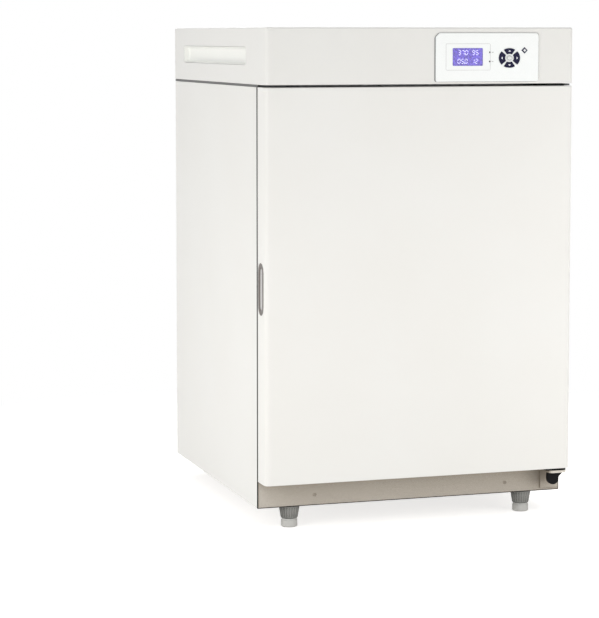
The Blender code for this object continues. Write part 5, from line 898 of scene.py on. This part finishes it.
def screwGrid(x, y, z, sign):
    # height over a disc of polar points: a dome less a recess where |x| or |y| is inside the cross
    radius = screws["radius"]
    ring = np.array([0.0, 0.12, 0.20, 0.34, 0.48, 0.60, 0.66, 0.80, 0.92, 1.0, 1.0])[:, None] * radius
    angle = np.linspace(0.0, 2 * math.pi, 32, endpoint=False)[None, :]
    across, up = ring * np.cos(angle), ring * np.sin(angle)
    dome = screws["dome"] * np.sqrt(np.maximum(0.0, 1 - 0.85 * (ring / radius) ** 2))
    cross = (np.minimum(np.abs(across), np.abs(up)) < screws["cross"]) & (ring < screws["reach"])
    height = dome - screws["recess"] * cross
    height[-1] = -0.0002
    return {"points": onAxis("Y", x + across, z + up, y + sign * height), "capLast": True}


def makeScrews():
    low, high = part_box("rear_panel")
    edge = screws["fromEdge"]
    left, right, bottom, top = low.x + edge, high.x - edge, low.z + edge, high.z - edge
    places = [(x, z) for x in np.linspace(left, right, 4) for z in (bottom, top)]
    places += [(x, z) for z in np.linspace(bottom, top, 5)[1:-1] for x in (left, right)]
    rear = [screwGrid(x, high.y, z, 1) for x, z in places]
    low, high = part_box("hood_shell")
    for x in (low.x + screws["fromHoodEdge"], *screws["hoodPlaces"], high.x - screws["fromHoodEdge"]):
        rear.append(screwGrid(x, high.y, low.z + edge, 1))
    buildPiece("rearScrews", rear, "cabinet", "zincSteel", 35)

    face, (x, z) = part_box("front_frame")[0].y, screws["framePlace"]
    front = [screwGrid(side * x, face, z, -1) for side in (-1, 1)]
    buildPiece("frameScrews", front, "cabinet", "framePaint", 35)

    # two screws side by side at the end of each hinge block that the swinging edge rail doesn't pass
    low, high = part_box("inner_hinge_upper")
    aside, fromEnd = screws["onBlock"]
    ends = high.z - fromEnd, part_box("inner_hinge_lower")[0].z + fromEnd
    blocks = [screwGrid(x, low.y, z, -1) for z in ends for x in (low.x + aside, high.x - aside)]
    buildPiece("hingeScrews", blocks, "cabinet", "zincSteel", 35)


for corner in ("front_left", "front_right", "rear_left", "rear_right"):
    makeCollar(corner)
    makePad(corner)
makeGrip()
makeDoorSeal()
makeDoorGapShade()
makeHoodGapShade()
makeFrameGapShades()
makeTrays()
makeCover()
makePanelEdgeShade()
makeDigits()
makePanelPrint()
makeScrews()
print("pieces made")


# Floor, light and camera.
studio = {"floor": 6.0, "fade": (0.9, 1.5), "pale": (0.80, 0.79, 0.77), "lift": 0.70, "world": 0.55,
          "aim": (0.0, 0.0, 0.5), "mirroredAbove": 0.5,
          "lamps": (("key", (-3.6, -2.2, 1.6), (2.2, 2.2), 46.0, (1.0, 1.0, 0.985)),
                    ("fill", (1.2, -1.6, 0.17), (1.2, 0.30), 9.0, (1.0, 0.98, 0.955)),
                    ("right", (2.2, -2.6, 1.3), (1.6, 1.6), 10.0, (1.0, 0.985, 0.965)),
                    ("lowFront", (-0.75, -1.25, 0.17), (1.0, 0.30), 2.2, (1.0, 0.985, 0.96)),
                    ("lowSide", (-1.4, -0.1, 0.17), (1.0, 0.30), 2.8, (1.0, 0.97, 0.93)),
                    ("back", (0.6, 2.6, 2.8), (2.0, 2.0), 40.0, (1.0, 1.0, 1.0)))}


def mixShaders(tree, level, first, second):
    return newNode(tree, "MixShader", {0: level, 1: first, 2: second}).outputs[0]


def makeFloor():
    ends = np.array([-studio["floor"], studio["floor"]])
    across, along = np.meshgrid(ends, ends, indexing="ij")
    mesh = bpy.data.meshes.new("floor")
    mesh.from_pydata(np.stack((across, along, 0 * across), -1).reshape(-1, 3).tolist(), [], [(0, 2, 3, 1)])
    floor = bpy.data.objects.new("floor", mesh)
    scene.collection.objects.link(floor)
    tree = newMaterial("paleFloor")[0]
    tree.nodes.clear()
    matt = newNode(tree, "BsdfDiffuse", {"Color": colour(studio["pale"])}).outputs[0]
    lift = newNode(tree, "Emission", {"Strength": studio["lift"]}).outputs[0]
    plain = newNode(tree, "Emission", {"Strength": 1.0}).outputs[0]
    lifted = newNode(tree, "AddShader", {0: matt, 1: lift}).outputs[0]
    # distance from the middle fades the floor into plain white, and mirrors and glass see it white as well
    far = newNode(tree, "VectorMath", {0: placeOf(tree)}, operation="LENGTH").outputs["Value"]
    fade = ranged(tree, far, studio["fade"], kind="SMOOTHSTEP")
    ray = newNode(tree, "LightPath").outputs
    mirrored = maths(tree, "MAXIMUM", ray["Is Glossy Ray"], ray["Is Transmission Ray"])
    surface = mixShaders(tree, ray["Is Camera Ray"], mixShaders(tree, mirrored, matt, plain),
                         mixShaders(tree, fade, lifted, plain))
    newNode(tree, "OutputMaterial", {"Surface": surface})
    mesh.materials.append(finishes["paleFloor"])


def makeWorld():
    # soft light on the object, plain white for the camera, mirrors and glass
    scene.world = bpy.data.worlds.new("studio")
    scene.world.use_nodes = True
    tree = scene.world.node_tree
    tree.nodes.clear()
    soft = newNode(tree, "Background", {"Color": white, "Strength": studio["world"]}).outputs[0]
    plain = newNode(tree, "Background", {"Color": white, "Strength": 1.0}).outputs[0]
    ray = newNode(tree, "LightPath").outputs
    direct = maths(tree, "MAXIMUM", ray["Is Camera Ray"], ray["Is Glossy Ray"])
    direct = maths(tree, "MAXIMUM", direct, ray["Is Transmission Ray"])
    newNode(tree, "OutputWorld", {"Surface": mixShaders(tree, direct, soft, plain)})


def makeLamps():
    # every lamp aims at the object's middle; only the high ones show in mirrors
    for name, place, size, power, tone in studio["lamps"]:
        lamp = bpy.data.lights.new(name, "AREA")
        lamp.shape, lamp.energy, lamp.color = "RECTANGLE", power, tone
        lamp.size, lamp.size_y = size
        holder = bpy.data.objects.new(name, lamp)
        scene.collection.objects.link(holder)
        aim = np.array(studio["aim"]) - np.array(place)
        flat = math.hypot(aim[0], aim[1])
        holder.location, holder.visible_camera = place, False
        holder.visible_glossy = place[2] > studio["mirroredAbove"]
        holder.rotation_euler = (math.atan2(flat, -aim[2]), 0.0, math.atan2(aim[1], aim[0]) - math.pi / 2)


view = {"place": (-1.576, -4.533, 0.981), "turn": (85.26, 0.0, -17.56), "lens": 131.2, "shift": -0.1397}


def makeCamera():
    lens = bpy.data.cameras.new("camera")
    lens.sensor_width, lens.lens, lens.shift_y = 36.0, view["lens"], view["shift"]
    lens.clip_start, lens.clip_end = 0.05, 60.0
    camera = bpy.data.objects.new("camera", lens)
    scene.collection.objects.link(camera)
    camera.location = view["place"]
    camera.rotation_euler = [math.radians(value) for value in view["turn"]]
    scene.camera = camera


makeFloor()
makeWorld()
makeLamps()
makeCamera()
scene.view_settings.view_transform = "Standard"
print("studio made")
